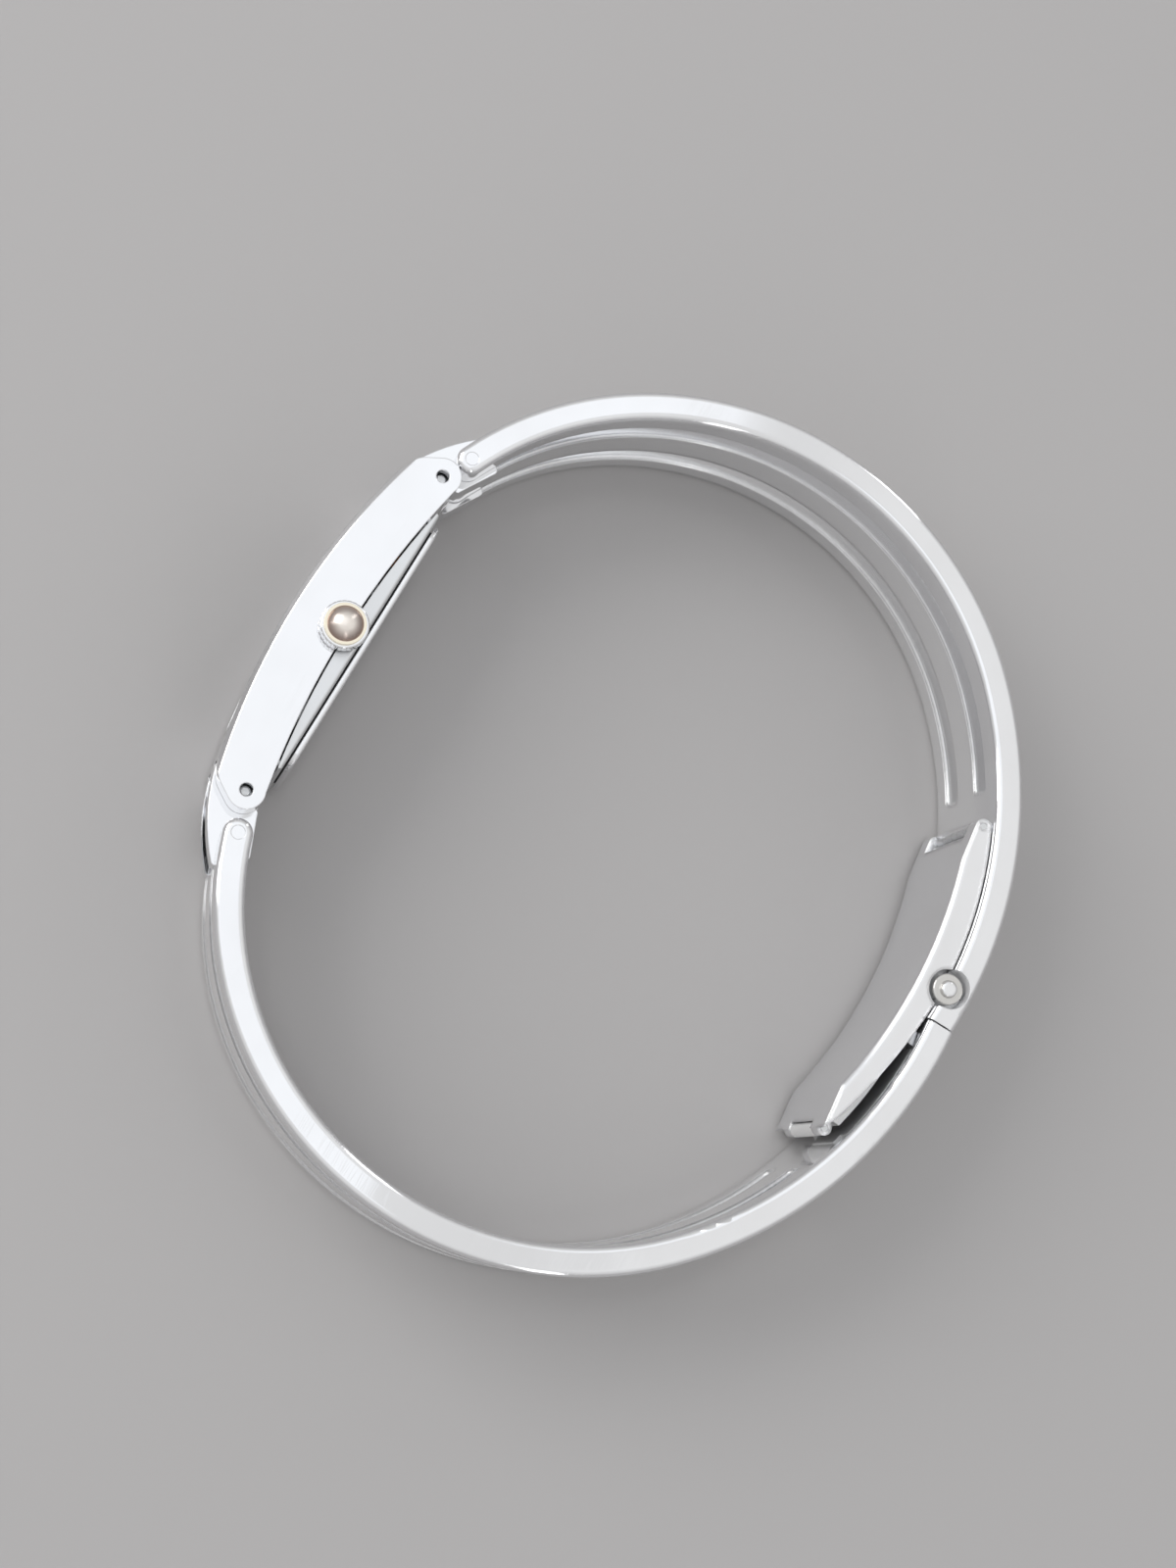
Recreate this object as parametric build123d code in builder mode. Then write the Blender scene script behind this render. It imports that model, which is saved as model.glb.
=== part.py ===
from build123d import *
import os
from math import asin, atan2, cos, degrees, hypot, pi, radians, sin, sqrt

os.makedirs("parts", exist_ok=True)

# The bangle lies on its side. X runs from the watch case to the clasp, Y towards 12 o'clock,
# and Z is the bangle's own axis, with the crown on top. The part stands on the side faces at Z 0.

# Band: two rigid curved halves, each a plate that splits into three bars
band_width = 12.0
bar_thickness = 2.0
side_bar_width = 2.15
slot_width = 2.15
bend_radius = 25.2
clasp_radius = 30.5
handover_angle = 44.0
end_bend_radius_12 = 24.1
end_bend_radius_6 = 23.3
end_bend_angle_12 = 120.0
end_bend_angle_6 = 115.0
bend_centre_x = 22.95
bend_centre_12 = 5.1
bend_centre_6 = 6.5
joint_line_y = -1.4
joint_line_gap = 0.1
slot_end_angle_12 = 29.2
slot_end_angle_6 = 24.3
slot_corner_radius = 0.35
fan_turns = 4
inner_edge_round = 0.45
outer_edge_round = 0.12

# Case: its side profile, seen along the bangle's axis
pin_span = 25.36
case_arc_radius = 50.5
case_rise = 4.05
lug_end_radius = 1.3
lug_corner_radius = 1.9
lug_corner_out = 0.6
lug_corner_back = 1.08
case_edge_chamfer = 0.3

# Case: cavity, window and seats
cavity_length = 18.4
cavity_width = 9.4
cavity_corner = 0.8
dial_seat_x = -2.12
window_length = 16.2
window_width = 8.0
window_corner = 0.6
crystal_length = 17.2
crystal_width = 9.0
crystal_corner = 1.0
crystal_thickness = 0.7
crystal_below_case = 0.06
crystal_side_gap = 0.03
crystal_gasket_thickness = 0.12
crystal_gasket_width = 0.35

# Case: the tub below the rails, its gasket and the flat back
tub_length = 20.6
tub_side_inset = 0.25
tub_seam = 0.12
tub_bottom_x = 1.25
tub_edge_round = 0.22
back_length = 19.8
back_width = 10.8
back_corner = 1.4
back_inner_x = 1.40
back_thickness = 0.4
back_rim_height = 0.4
back_rim_wall = 0.4
back_rim_gap = 0.05
back_gasket_width = 0.5
tub_screw_y = 9.8
tub_screw_side = 1.1
tub_screw_radius = 0.25
tub_screw_head_radius = 0.42
tub_screw_head_height = 0.3
tub_screw_length = 2.0
screw_slot_width = 0.12
screw_slot_depth = 0.1

# Lug pins, sprung bars whose thin tips sit deep in the rail holes
bar_barrel_radius = 0.6
bar_tip_radius = 0.38
bar_tip_recess = 0.85
lug_hole_radius = 0.45
running_gap = 0.04
side_gap = 0.08

# End links: two spindle-shaped arms at each end of the case
link_pitch_12 = 2.43
link_pitch_6 = 2.86
link_rest_turn_12 = -7.5
link_rest_turn_6 = 0.0
link_pin_radius = 0.45
link_pin_flush = 0.02
arm_head_out = 2.61
arm_head_back = 0.9
arm_belly_out = 1.49
arm_belly_along = 2.02
arm_tail_in = 0.73
arm_tail_along = 5.15
arm_heel_in = 2.6
arm_heel_along = 3.47
arm_knee_in = 1.75
arm_knee_along = 1.35
arm_step_in = 1.42
arm_step_along = 0.51
arm_tail_round = 0.32
arm_heel_round = 0.3
arm_eye_radius = 1.25
arm_slot_radius = 2.92
arm_slot_eye_gap = 0.18
arm_slot_wall_x = 0.35

# Clasp blade: the curved cover inside the band, hinged at U near the 12 side
blade_width = 11.0
blade_inner_radius = 34.7
blade_middle_thickness = 2.01
blade_band_gap = 0.08
blade_upper_corner_y = 9.4
blade_lower_corner_y = -8.35
blade_tip_depth = 1.43
blade_tip_y = -11.6
blade_low_depth = 1.18
blade_low_y = -10.55
blade_mid_depth = 0.8
blade_mid_y = -5.84
blade_edge_round = 0.3
hinge_u_gap = 0.11
hinge_u_y = 12.5
hinge_l_y = -11.3
hinge_j_y = -2.65
hinge_pin_radius = 0.25
hinge_eye_radius = 0.55
end_eye_radius = 0.5
hinge_l_eye_radius = 0.5
hinge_l_depth = 1.0
hinge_zone_side = 2.2
knuckle_length = 1.45
hinge_end_gap = 0.08
hinge_lug_reach = 1.0
hinge_lug_rise = 1.1
hinge_room_radius = 1.15
blade_channel_top_y = -1.45
blade_channel_bottom_y = -9.2
blade_channel_gap = 0.45

# Clasp leaf: the folding strip between the blade and the 6 side half
leaf_band_gap = 0.4
leaf_thickness = 0.5
leaf_wing_gap = 0.2
open_pivot_gap = 0.12

# How far each joint of the bangle turns, in degrees, while the clasp unfolds
leaf_swing = 124.578
blade_swing = 130.864
bar_swing = 6.0
link_swing = 4.0
path_share = 0.09
path_steps = 9

# Catch block and its two push buttons, at the joint line
button_band_depth = 0.26
button_y = 1.17
button_recess_radius = 1.4
button_recess_depth = 1.55
button_head_radius = 1.1
button_head_sink = 0.5
button_head_height = 0.45
button_dome_radius = 0.6
button_dome_height = 0.3
button_shaft_radius = 0.42
button_collar_radius = 0.66
button_collar_thickness = 0.2
button_shoulder = 0.45
button_way_gap = 0.2
button_shaft_length = 2.7
catch_length = 2.2
catch_width = 6.2
catch_cover = 0.69
catch_gap = 0.15
catch_edge_round = 0.2
spring_radius = 0.36
spring_wire_radius = 0.07
spring_turns = 4

# Crown on the 3 o'clock side, on its tube and stem
crown_axis_x = -0.27
tube_outer_radius = 0.45
tube_inner_radius = 0.33
tube_stand = 0.55
stem_radius = 0.27
stem_inner_z = 7.4
stem_groove_radius = 0.17
crown_radius = 1.65
crown_gap = 0.15
crown_height = 0.95
crown_flutes = 28
crown_flute_radius = 0.09
crown_recess_radius = 0.66
crown_recess_depth = 0.75
crown_edge_round = 0.15
cap_ring_radius = 1.42
cap_ring_height = 0.22
cap_dome_radius = 1.2
cap_dome_height = 0.72
crown_pull = 0.6
lever_thickness = 0.16
lever_z = 8.3
lever_width = 1.2
lever_length = 1.9
lever_gap = 0.1

# Dial and hands
dial_back_x = -1.8
dial_thickness = 0.3
dial_side_gap = 0.1
hour_hand_x = -2.3
minute_hand_x = -2.62
hand_thickness = 0.12
hour_hand_length = 2.6
minute_hand_length = 3.8
hour_hand_width = 0.42
minute_hand_width = 0.34
hand_tail = 0.9
hand_tip_width = 0.1
hand_hub_wall = 0.22
hand_cap_stand = 0.06

# Motion work under the dial: real teeth, 10 to 30 and 8 to 32, which is 12 to 1
gear_module = 0.11
cannon_teeth = 10
minute_wheel_teeth = 30
minute_pinion_teeth = 8
hour_wheel_teeth = 32
tooth_share = 0.38
addendum_share = 0.85
dedendum_share = 1.2
tooth_tip_share = 0.45
tooth_root_share = 1.15
post_radius = 0.17
bore_gap = 0.03
cannon_tube_radius = 0.3
hour_tube_radius = 0.46
tube_gap = 0.05
cannon_low_x = -1.06
cannon_teeth_height = 0.28
minute_wheel_low_x = -1.1
minute_wheel_height = 0.2
minute_pinion_top_x = -1.66
hour_wheel_low_x = -1.44
hour_wheel_height = 0.2
dial_hole_radius = 0.6

# Quartz movement in the cavity
plate_top_x = -1.76
plate_bottom_x = -0.65
plate_length = 17.6
plate_width = 8.9
plate_corner = 0.6
recess_floor_x = -0.98
recess_radius = 2.1
battery_radius = 2.9
battery_thickness = 1.25
battery_y = -5.4
battery_lip = 0.25
strap_thickness = 0.14
strap_width = 1.4
strap_end_y = 8.5
bridge_length = 3.2
bridge_width = 4.6
bridge_height = 1.1
bridge_y = -0.4
bridge_z = 3.9
coil_y = 6.9
coil_radius = 0.62
coil_length = 5.2
coil_core_radius = 0.3
coil_core_length = 7.2
coil_x = 0.05
board_length = 3.4
board_width = 8.2
board_thickness = 0.25
board_y = 3.95
quartz_radius = 0.5
quartz_length = 3.6
quartz_y = 4.6
cut_over = 3.0


# Places worked out from the sizes above
case_low_x = -case_rise
blend_x = bend_centre_x - (clasp_radius - bend_radius) * cos(radians(handover_angle))
blend_y = (clasp_radius - bend_radius) * sin(radians(handover_angle))
clasp_high_x = blend_x + clasp_radius
pin_line_x = -(case_low_x + clasp_high_x) / 2
case_mid_y = (bend_centre_6 - bend_centre_12) / 2
pin_y = pin_span / 2
middle_z = band_width / 2
half_bar = bar_thickness / 2
bend_centre = {1: bend_centre_12, -1: bend_centre_6}
clasp_centre = {1: bend_centre_12 - blend_y, -1: bend_centre_6 - blend_y}
slot_end_angle = {1: slot_end_angle_12, -1: slot_end_angle_6}
end_bend_radius = {1: end_bend_radius_12, -1: end_bend_radius_6}
end_bend_angle = {1: end_bend_angle_12, -1: end_bend_angle_6}
link_pitch = {1: link_pitch_12, -1: link_pitch_6}
link_rest_turn = {1: link_rest_turn_12, -1: link_rest_turn_6}
rail_inner_radius = (pin_y**2 + lug_end_radius**2) / (2 * lug_end_radius)
slot_low_z = (side_bar_width, band_width - side_bar_width - slot_width)
blade_low_z = (band_width - blade_width) / 2
hinge_low_z = hinge_zone_side
hinge_high_z = band_width - hinge_zone_side
blade_centre_y = (blade_upper_corner_y + blade_lower_corner_y) / 2 - side_gap
inner_clasp_radius = clasp_radius - bar_thickness
clasp_middle_12 = (blend_x, clasp_centre[1])
clasp_middle_6 = (blend_x, -clasp_centre[-1])
gear_distance = gear_module * (cannon_teeth + minute_wheel_teeth) / 2


def side_plane(z):
    """A plane across the bangle's axis, with its origin midway between the lug pins."""
    return Plane(origin=(pin_line_x, case_mid_y, z))


def dial_plane(x):
    """A plane at a height in the case, drawn as the wearer sees the dial: 3 right, 12 up."""
    return Plane(origin=(pin_line_x + x, case_mid_y, middle_z), x_dir=(0, 0, 1), z_dir=(-1, 0, 0))


def meeting_point(first, first_radius, second, second_radius, turn):
    """One of the two points where two circles cross; turn picks which, +1 or -1."""
    gap = hypot(second[0] - first[0], second[1] - first[1])
    along = (gap**2 + first_radius**2 - second_radius**2) / (2 * gap)
    across = turn * sqrt(first_radius**2 - along**2)
    step = ((second[0] - first[0]) / gap, (second[1] - first[1]) / gap)
    return (
        first[0] + along * step[0] - across * step[1],
        first[1] + along * step[1] + across * step[0],
    )


def end_bend_middle(side):
    """The centre of the bars' last, tighter arc, tangent to the bend before it."""
    shift = bend_radius - end_bend_radius[side]
    angle = radians(end_bend_angle[side])
    return (
        bend_centre_x + shift * cos(angle),
        side * (bend_centre[side] + shift * sin(angle)),
    )


def beside_band(side, depth, y):
    """A point at a height of Y, at a depth below the inner face of a band half's clasp arc."""
    centre = clasp_middle_12 if side > 0 else clasp_middle_6
    reach = inner_clasp_radius - depth
    return (centre[0] + sqrt(reach**2 - (y - centre[1]) ** 2), y)


def turned(point, pivot, turn):
    """A point turned about a pivot by an angle in degrees, seen from the crown side."""
    x, y = point[0] - pivot[0], point[1] - pivot[1]
    c, s = cos(radians(turn)), sin(radians(turn))
    return (pivot[0] + x * c - y * s, pivot[1] + x * s + y * c)


def link_pin_place(side):
    """The pin between the end link and the band half, on the middle of the bars."""
    bar_middle_radius = end_bend_radius[side] - half_bar
    lug_pin = (0, side * pin_y)
    return meeting_point(lug_pin, link_pitch[side], end_bend_middle(side), bar_middle_radius, side)


def curved_pane(outer_radius, thickness, length, width, corner):
    """A rectangular sheet with round corners, bent to the case's arc."""
    with BuildPart() as pane:
        with BuildSketch(dial_plane(0)):
            RectangleRounded(width, length, corner)
        extrude(amount=case_rise + cut_over)
        with BuildSketch(side_plane(0)):
            with Locations((case_arc_radius - case_rise, 0)):
                Circle(outer_radius)
                Circle(outer_radius - thickness, mode=Mode.SUBTRACT)
        extrude(amount=band_width, mode=Mode.INTERSECT)
    return pane.part


# Case frame: the curved top with its two side rails, lugs and end slots
seat_depth = crystal_below_case + crystal_thickness + crystal_gasket_thickness
seat_block = curved_pane(
    case_arc_radius + cut_over, seat_depth + cut_over, crystal_length, crystal_width, crystal_corner
)
with BuildPart() as case_frame:
    with BuildSketch(side_plane(0)):
        with Locations((case_arc_radius - case_rise, 0)):
            Circle(case_arc_radius)
        with Locations((lug_end_radius - case_rise, 0)):
            Rectangle(2 * case_rise, pin_span - 2 * lug_corner_back, mode=Mode.INTERSECT)
        for side in (1, -1):
            with Locations((-lug_corner_out, side * (pin_y - lug_corner_back))):
                Circle(lug_corner_radius)
            with Locations((0, side * pin_y)):
                Circle(lug_end_radius)
        make_hull()
        with Locations((rail_inner_radius, 0)):
            Circle(rail_inner_radius, mode=Mode.SUBTRACT)
        for side in (1, -1):
            with Locations((0, side * pin_y)):
                Circle(lug_end_radius)
    extrude(amount=band_width)
    case_rims = case_frame.edges().filter_by(lambda e: e.center().X < pin_line_x - case_rise / 2)
    chamfer(case_rims.filter_by(GeomType.CIRCLE).filter_by(Plane.XY), case_edge_chamfer)
    with BuildSketch(dial_plane(dial_seat_x)):
        RectangleRounded(cavity_width, cavity_length, cavity_corner)
    extrude(amount=-(cut_over - dial_seat_x), mode=Mode.SUBTRACT)
    with BuildSketch(dial_plane(dial_seat_x)):
        RectangleRounded(window_width, window_length, window_corner)
    extrude(amount=cut_over, mode=Mode.SUBTRACT)
    for side in (1, -1):
        for low_z in slot_low_z:
            with BuildSketch(side_plane(low_z)):
                with Locations((0, side * pin_y)):
                    Circle(arm_slot_radius)
                with Locations((arm_slot_wall_x + arm_slot_radius, side * (pin_y - arm_slot_radius))):
                    Rectangle(2 * arm_slot_radius, 2 * arm_slot_radius, mode=Mode.SUBTRACT)
                with Locations((0, side * pin_y)):
                    Circle(arm_eye_radius + arm_slot_eye_gap)
            extrude(amount=slot_width, mode=Mode.SUBTRACT)
        with BuildSketch(side_plane(0)):
            with Locations((0, side * pin_y)):
                Circle(lug_hole_radius)
        extrude(amount=band_width, mode=Mode.SUBTRACT)
        with BuildSketch(side_plane(side_bar_width)):
            with Locations((0, side * pin_y)):
                Circle(bar_barrel_radius + running_gap)
        extrude(amount=band_width - 2 * side_bar_width, mode=Mode.SUBTRACT)
    with BuildSketch(side_plane(middle_z)):
        with Locations((crown_axis_x, 0)):
            Circle(tube_outer_radius)
    extrude(amount=band_width, mode=Mode.SUBTRACT)
    for side in (1, -1):
        with BuildSketch(dial_plane(tub_bottom_x)):
            for across in (1, -1):
                with Locations((across * (middle_z - tub_screw_side), side * tub_screw_y)):
                    Circle(tub_screw_radius)
        extrude(amount=tub_screw_length, mode=Mode.SUBTRACT)
    add(seat_block, mode=Mode.SUBTRACT)
case_frame.part.label = "case_frame"
export_step(case_frame.part, "parts/case_frame.step")

# Crystal, and the thin gasket it is pressed on
crystal_radius = case_arc_radius - crystal_below_case
crystal_slack = 2 * crystal_side_gap
pane_length = crystal_length - crystal_slack
pane_width = crystal_width - crystal_slack
with BuildPart() as crystal:
    add(curved_pane(crystal_radius, crystal_thickness, pane_length, pane_width, crystal_corner))
crystal.part.label = "crystal"
export_step(crystal.part, "parts/crystal.step")

gasket_radius = crystal_radius - crystal_thickness
gasket_hole_length = pane_length - 2 * crystal_gasket_width
gasket_hole_width = pane_width - 2 * crystal_gasket_width
gasket_hole_corner = crystal_corner - crystal_gasket_width
gasket_sheet = curved_pane(
    gasket_radius, crystal_gasket_thickness, pane_length, pane_width, crystal_corner
)
gasket_hole = curved_pane(
    gasket_radius + case_edge_chamfer,
    crystal_gasket_thickness + 2 * case_edge_chamfer,
    gasket_hole_length,
    gasket_hole_width,
    gasket_hole_corner,
)
with BuildPart() as crystal_gasket:
    add(gasket_sheet)
    add(gasket_hole, mode=Mode.SUBTRACT)
crystal_gasket.part.label = "crystal_gasket"
export_step(crystal_gasket.part, "parts/crystal_gasket.step")

# Tub: the rounded lower shell, seen as a band between the rails and the flat back
with BuildPart() as case_tub:
    with BuildSketch(side_plane(tub_side_inset)):
        with Locations((rail_inner_radius + tub_seam, 0)):
            Circle(rail_inner_radius)
        with Locations((tub_bottom_x / 2, 0)):
            Rectangle(tub_bottom_x, tub_length, mode=Mode.INTERSECT)
    extrude(amount=band_width - 2 * tub_side_inset)
    fillet(case_tub.edges().group_by(Axis.X)[-1], tub_edge_round)
    with BuildSketch(dial_plane(tub_bottom_x + cut_over)):
        RectangleRounded(cavity_width, cavity_length, cavity_corner)
    extrude(amount=2 * cut_over, mode=Mode.SUBTRACT)
    with BuildSketch(side_plane(middle_z)):
        with Locations((crown_axis_x, 0)):
            Circle(tube_outer_radius + running_gap)
    extrude(amount=band_width, mode=Mode.SUBTRACT)
    for side in (1, -1):
        for across in (1, -1):
            screw_place = (across * (middle_z - tub_screw_side), side * tub_screw_y)
            with BuildSketch(dial_plane(tub_bottom_x)):
                with Locations(screw_place):
                    Circle(tub_screw_radius + running_gap)
            extrude(amount=cut_over, mode=Mode.SUBTRACT)
            with BuildSketch(dial_plane(tub_bottom_x)):
                with Locations(screw_place):
                    Circle(tub_screw_head_radius + running_gap)
            extrude(amount=tub_screw_head_height, mode=Mode.SUBTRACT)
case_tub.part.label = "case_tub"
export_step(case_tub.part, "parts/case_tub.step")

# Four screws that hold the tub, under the flat back
with BuildPart() as tub_screws:
    for side in (1, -1):
        for across in (1, -1):
            screw_place = (across * (middle_z - tub_screw_side), side * tub_screw_y)
            with BuildSketch(dial_plane(tub_bottom_x)):
                with Locations(screw_place):
                    Circle(tub_screw_head_radius)
            extrude(amount=tub_screw_head_height)
            with BuildSketch(dial_plane(tub_bottom_x)):
                with Locations(screw_place):
                    Circle(tub_screw_radius)
            extrude(amount=tub_screw_length)
            with BuildSketch(dial_plane(tub_bottom_x)):
                with Locations(screw_place):
                    Rectangle(2 * tub_screw_head_radius, screw_slot_width)
            extrude(amount=screw_slot_depth, mode=Mode.SUBTRACT)
tub_screws.part.label = "tub_screws"
export_step(tub_screws.part, "parts/tub_screws.step")

# Flat snap back with its rim, and the gasket it presses on
rim_length = cavity_length - 2 * back_rim_gap
rim_width = cavity_width - 2 * back_rim_gap
with BuildPart() as case_back:
    with BuildSketch(dial_plane(back_inner_x + back_thickness)):
        RectangleRounded(back_width, back_length, back_corner)
    extrude(amount=back_thickness)
    fillet(case_back.edges().group_by(Axis.X)[-1], tub_edge_round)
    with BuildSketch(dial_plane(back_inner_x)):
        RectangleRounded(rim_width, rim_length, cavity_corner - back_rim_gap)
        RectangleRounded(
            rim_width - 2 * back_rim_wall,
            rim_length - 2 * back_rim_wall,
            cavity_corner - back_rim_wall,
            mode=Mode.SUBTRACT,
        )
    extrude(amount=back_inner_x - tub_bottom_x + back_rim_height)
case_back.part.label = "case_back"
export_step(case_back.part, "parts/case_back.step")

with BuildPart() as back_gasket:
    with BuildSketch(dial_plane(back_inner_x)):
        RectangleRounded(
            cavity_width + back_gasket_width,
            cavity_length + back_gasket_width,
            cavity_corner + back_gasket_width / 2,
        )
        RectangleRounded(cavity_width, cavity_length, cavity_corner, mode=Mode.SUBTRACT)
    extrude(amount=back_inner_x - tub_bottom_x)
back_gasket.part.label = "back_gasket"
export_step(back_gasket.part, "parts/back_gasket.step")


def spring_bar(side):
    """A lug pin: a barrel between the rails, and a thin tip in each rail hole."""
    place = (0, side * pin_y)
    with BuildPart() as bar:
        with BuildSketch(side_plane(side_bar_width + side_gap)):
            with Locations(place):
                Circle(bar_barrel_radius)
        extrude(amount=band_width - 2 * (side_bar_width + side_gap))
        with BuildSketch(side_plane(bar_tip_recess)):
            with Locations(place):
                Circle(bar_tip_radius)
        extrude(amount=band_width - 2 * bar_tip_recess)
        tip_rims = bar.edges().group_by(Axis.Z)
        chamfer(tip_rims[0] + tip_rims[-1], outer_edge_round)
    return bar.part


with BuildPart() as spring_bar_12:
    add(spring_bar(1))
spring_bar_12.part.label = "spring_bar_12"
export_step(spring_bar_12.part, "parts/spring_bar_12.step")

with BuildPart() as spring_bar_6:
    add(spring_bar(-1))
spring_bar_6.part.label = "spring_bar_6"
export_step(spring_bar_6.part, "parts/spring_bar_6.step")


def link_arms(side):
    """The two spindle-shaped arms of one end link, on the lug pin and the link pin."""
    turn = radians(side * link_rest_turn[side])

    def arm_point(inward, along):
        x, y = inward, side * along
        return (x * cos(turn) - y * sin(turn), side * pin_y + x * sin(turn) + y * cos(turn))

    head = arm_point(-arm_head_out, -arm_head_back)
    belly = arm_point(-arm_belly_out, arm_belly_along)
    tail = arm_point(arm_tail_in, arm_tail_along)
    heel = arm_point(arm_heel_in, arm_heel_along)
    knee = arm_point(arm_knee_in, arm_knee_along)
    step = arm_point(arm_step_in, arm_step_along)
    eye_foot = arm_point(0, -arm_eye_radius)
    link_pin = link_pin_place(side)
    with BuildPart() as arms:
        for low_z in slot_low_z:
            with BuildSketch(side_plane(low_z + side_gap)) as outline:
                with BuildLine():
                    ThreePointArc(head, belly, tail)
                    Polyline(tail, heel, knee, step, (0, side * pin_y), eye_foot, head)
                make_face()
                corner_tail = outline.vertices().sort_by_distance(Vector(*tail))[0]
                fillet(corner_tail, arm_tail_round)
                corner_heel = outline.vertices().sort_by_distance(Vector(*heel))[0]
                fillet(corner_heel, arm_heel_round)
                with Locations((0, side * pin_y)):
                    Circle(arm_eye_radius)
                    Circle(bar_barrel_radius + running_gap, mode=Mode.SUBTRACT)
                with Locations(link_pin):
                    Circle(link_pin_radius + running_gap, mode=Mode.SUBTRACT)
            extrude(amount=slot_width - 2 * side_gap)
    return arms.part


with BuildPart() as link_arms_12:
    add(link_arms(1))
link_arms_12.part.label = "link_arms_12"
export_step(link_arms_12.part, "parts/link_arms_12.step")

with BuildPart() as link_arms_6:
    add(link_arms(-1))
link_arms_6.part.label = "link_arms_6"
export_step(link_arms_6.part, "parts/link_arms_6.step")


def link_pin(side):
    """The straight pin through the bar ends, its heads flush with the side faces."""
    with BuildPart() as pin:
        with BuildSketch(side_plane(link_pin_flush)):
            with Locations(link_pin_place(side)):
                Circle(link_pin_radius)
        extrude(amount=band_width - 2 * link_pin_flush)
    return pin.part


with BuildPart() as link_pin_12:
    add(link_pin(1))
link_pin_12.part.label = "link_pin_12"
export_step(link_pin_12.part, "parts/link_pin_12.step")

with BuildPart() as link_pin_6:
    add(link_pin(-1))
link_pin_6.part.label = "link_pin_6"
export_step(link_pin_6.part, "parts/link_pin_6.step")


def bar_plate(side):
    """One band half: three tangent arcs of constant thickness, with its slots and bar ends."""
    bend = (bend_centre_x, side * bend_centre[side])
    clasp = (blend_x, side * clasp_centre[side])
    end_bend = end_bend_middle(side)
    pin = link_pin_place(side)
    pin_angle = degrees(atan2(side * (pin[1] - end_bend[1]), pin[0] - end_bend[0]))
    bend_turn = end_bend_angle[side] - handover_angle
    end_turn = pin_angle - end_bend_angle[side]
    end_drop = side * joint_line_y + joint_line_gap / 2 - clasp_centre[side]

    def end_angle(radius):
        return degrees(asin(end_drop / radius))

    inner_clasp = clasp_radius - bar_thickness
    reach = 2 * clasp_radius
    corners = []
    for quarter in range(fan_turns + 1):
        angle = radians(slot_end_angle[side] + 180 * quarter / fan_turns)
        corners.append((clasp[0] + reach * cos(angle), clasp[1] + side * reach * sin(angle)))
    with BuildSketch() as fan:
        with BuildLine():
            Polyline(clasp, *corners, close=True)
        make_face()
    with BuildPart() as plate:
        with BuildSketch(side_plane(0)):
            with BuildLine():
                low, turn = side * end_bend_angle[side], side * end_turn
                for radius in (end_bend_radius[side], end_bend_radius[side] - bar_thickness):
                    CenterArc(end_bend, radius, low, turn)
                low, turn = side * handover_angle, side * bend_turn
                for radius in (bend_radius, bend_radius - bar_thickness):
                    CenterArc(bend, radius, low, turn)
                ends = []
                for radius in (clasp_radius, inner_clasp):
                    turn = side * (end_angle(radius) - handover_angle)
                    ends.append(CenterArc(clasp, radius, low, turn) @ 1)
                Line(*ends)
                CenterArc(pin, half_bar, side * pin_angle, side * 180)
            make_face()
        extrude(amount=band_width)
        for low_z in slot_low_z:
            with BuildSketch(side_plane(low_z)):
                add(fan.sketch)
            extrude(amount=slot_width, mode=Mode.SUBTRACT)
        with BuildSketch(side_plane(0)):
            with Locations(pin):
                Circle(link_pin_radius)
        extrude(amount=band_width, mode=Mode.SUBTRACT)
        slot_walls = [z + share * slot_width for z in slot_low_z for share in (0, 1)]
        corner_edges = [
            edge
            for edge in plate.edges().filter_by(GeomType.LINE)
            if abs(edge.length - bar_thickness) < running_gap
            and min(abs(edge.center().Z - wall) for wall in slot_walls) < running_gap
        ]
        fillet(corner_edges, slot_corner_radius)
        inner_radii = [r - bar_thickness for r in (end_bend_radius[side], bend_radius, clasp_radius)]
        long_inner = [
            edge
            for edge in plate.edges().filter_by(GeomType.CIRCLE)
            if min(abs(edge.radius - radius) for radius in inner_radii) < running_gap
            and (edge.center().Z < running_gap or edge.center().Z > band_width - running_gap)
        ]
        fillet(long_inner, inner_edge_round)
    return plate.part


def radial_box(centre, low_radius, high_radius, low_y, high_y, low_z, high_z):
    """A block between two arcs and two heights of Y, for pockets and channels."""
    with BuildPart() as block:
        with BuildSketch(side_plane(low_z)):
            with Locations(centre):
                Circle(high_radius)
                Circle(low_radius, mode=Mode.SUBTRACT)
            with Locations((centre[0] + high_radius, (low_y + high_y) / 2)):
                Rectangle(high_radius, high_y - low_y, mode=Mode.INTERSECT)
        extrude(amount=high_z - low_z)
    return block.part


catch_low_z = (band_width - catch_width) / 2
recess_floor_z = band_width - button_recess_depth

hinge_u = beside_band(1, hinge_eye_radius + hinge_u_gap, hinge_u_y)
hinge_l = beside_band(-1, hinge_l_depth, hinge_l_y)
hinge_j = beside_band(-1, leaf_band_gap + leaf_thickness / 2, hinge_j_y)
button_place = (beside_band(1, 0, button_y)[0] + button_band_depth, button_y)
catch_top_x = beside_band(1, -bar_thickness, button_y)[0] - catch_cover
catch_height = 2 * (catch_top_x - button_place[0])
leaf_outer_radius = inner_clasp_radius - leaf_band_gap
leaf_inner_radius = leaf_outer_radius - leaf_thickness


def seen_from_half_12(point, share):
    """Where a point of the blade is, seen from the 12 side half, part-way through the fold."""
    turns = (
        (hinge_l, blade_swing),
        (hinge_j, -leaf_swing),
        (link_pin_place(-1), -bar_swing),
        ((0, -pin_y), -link_swing),
        ((0, pin_y), -link_swing),
        (link_pin_place(1), -bar_swing),
    )
    for pivot, swing in turns:
        point = turned(point, pivot, swing * share)
    return point


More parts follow.
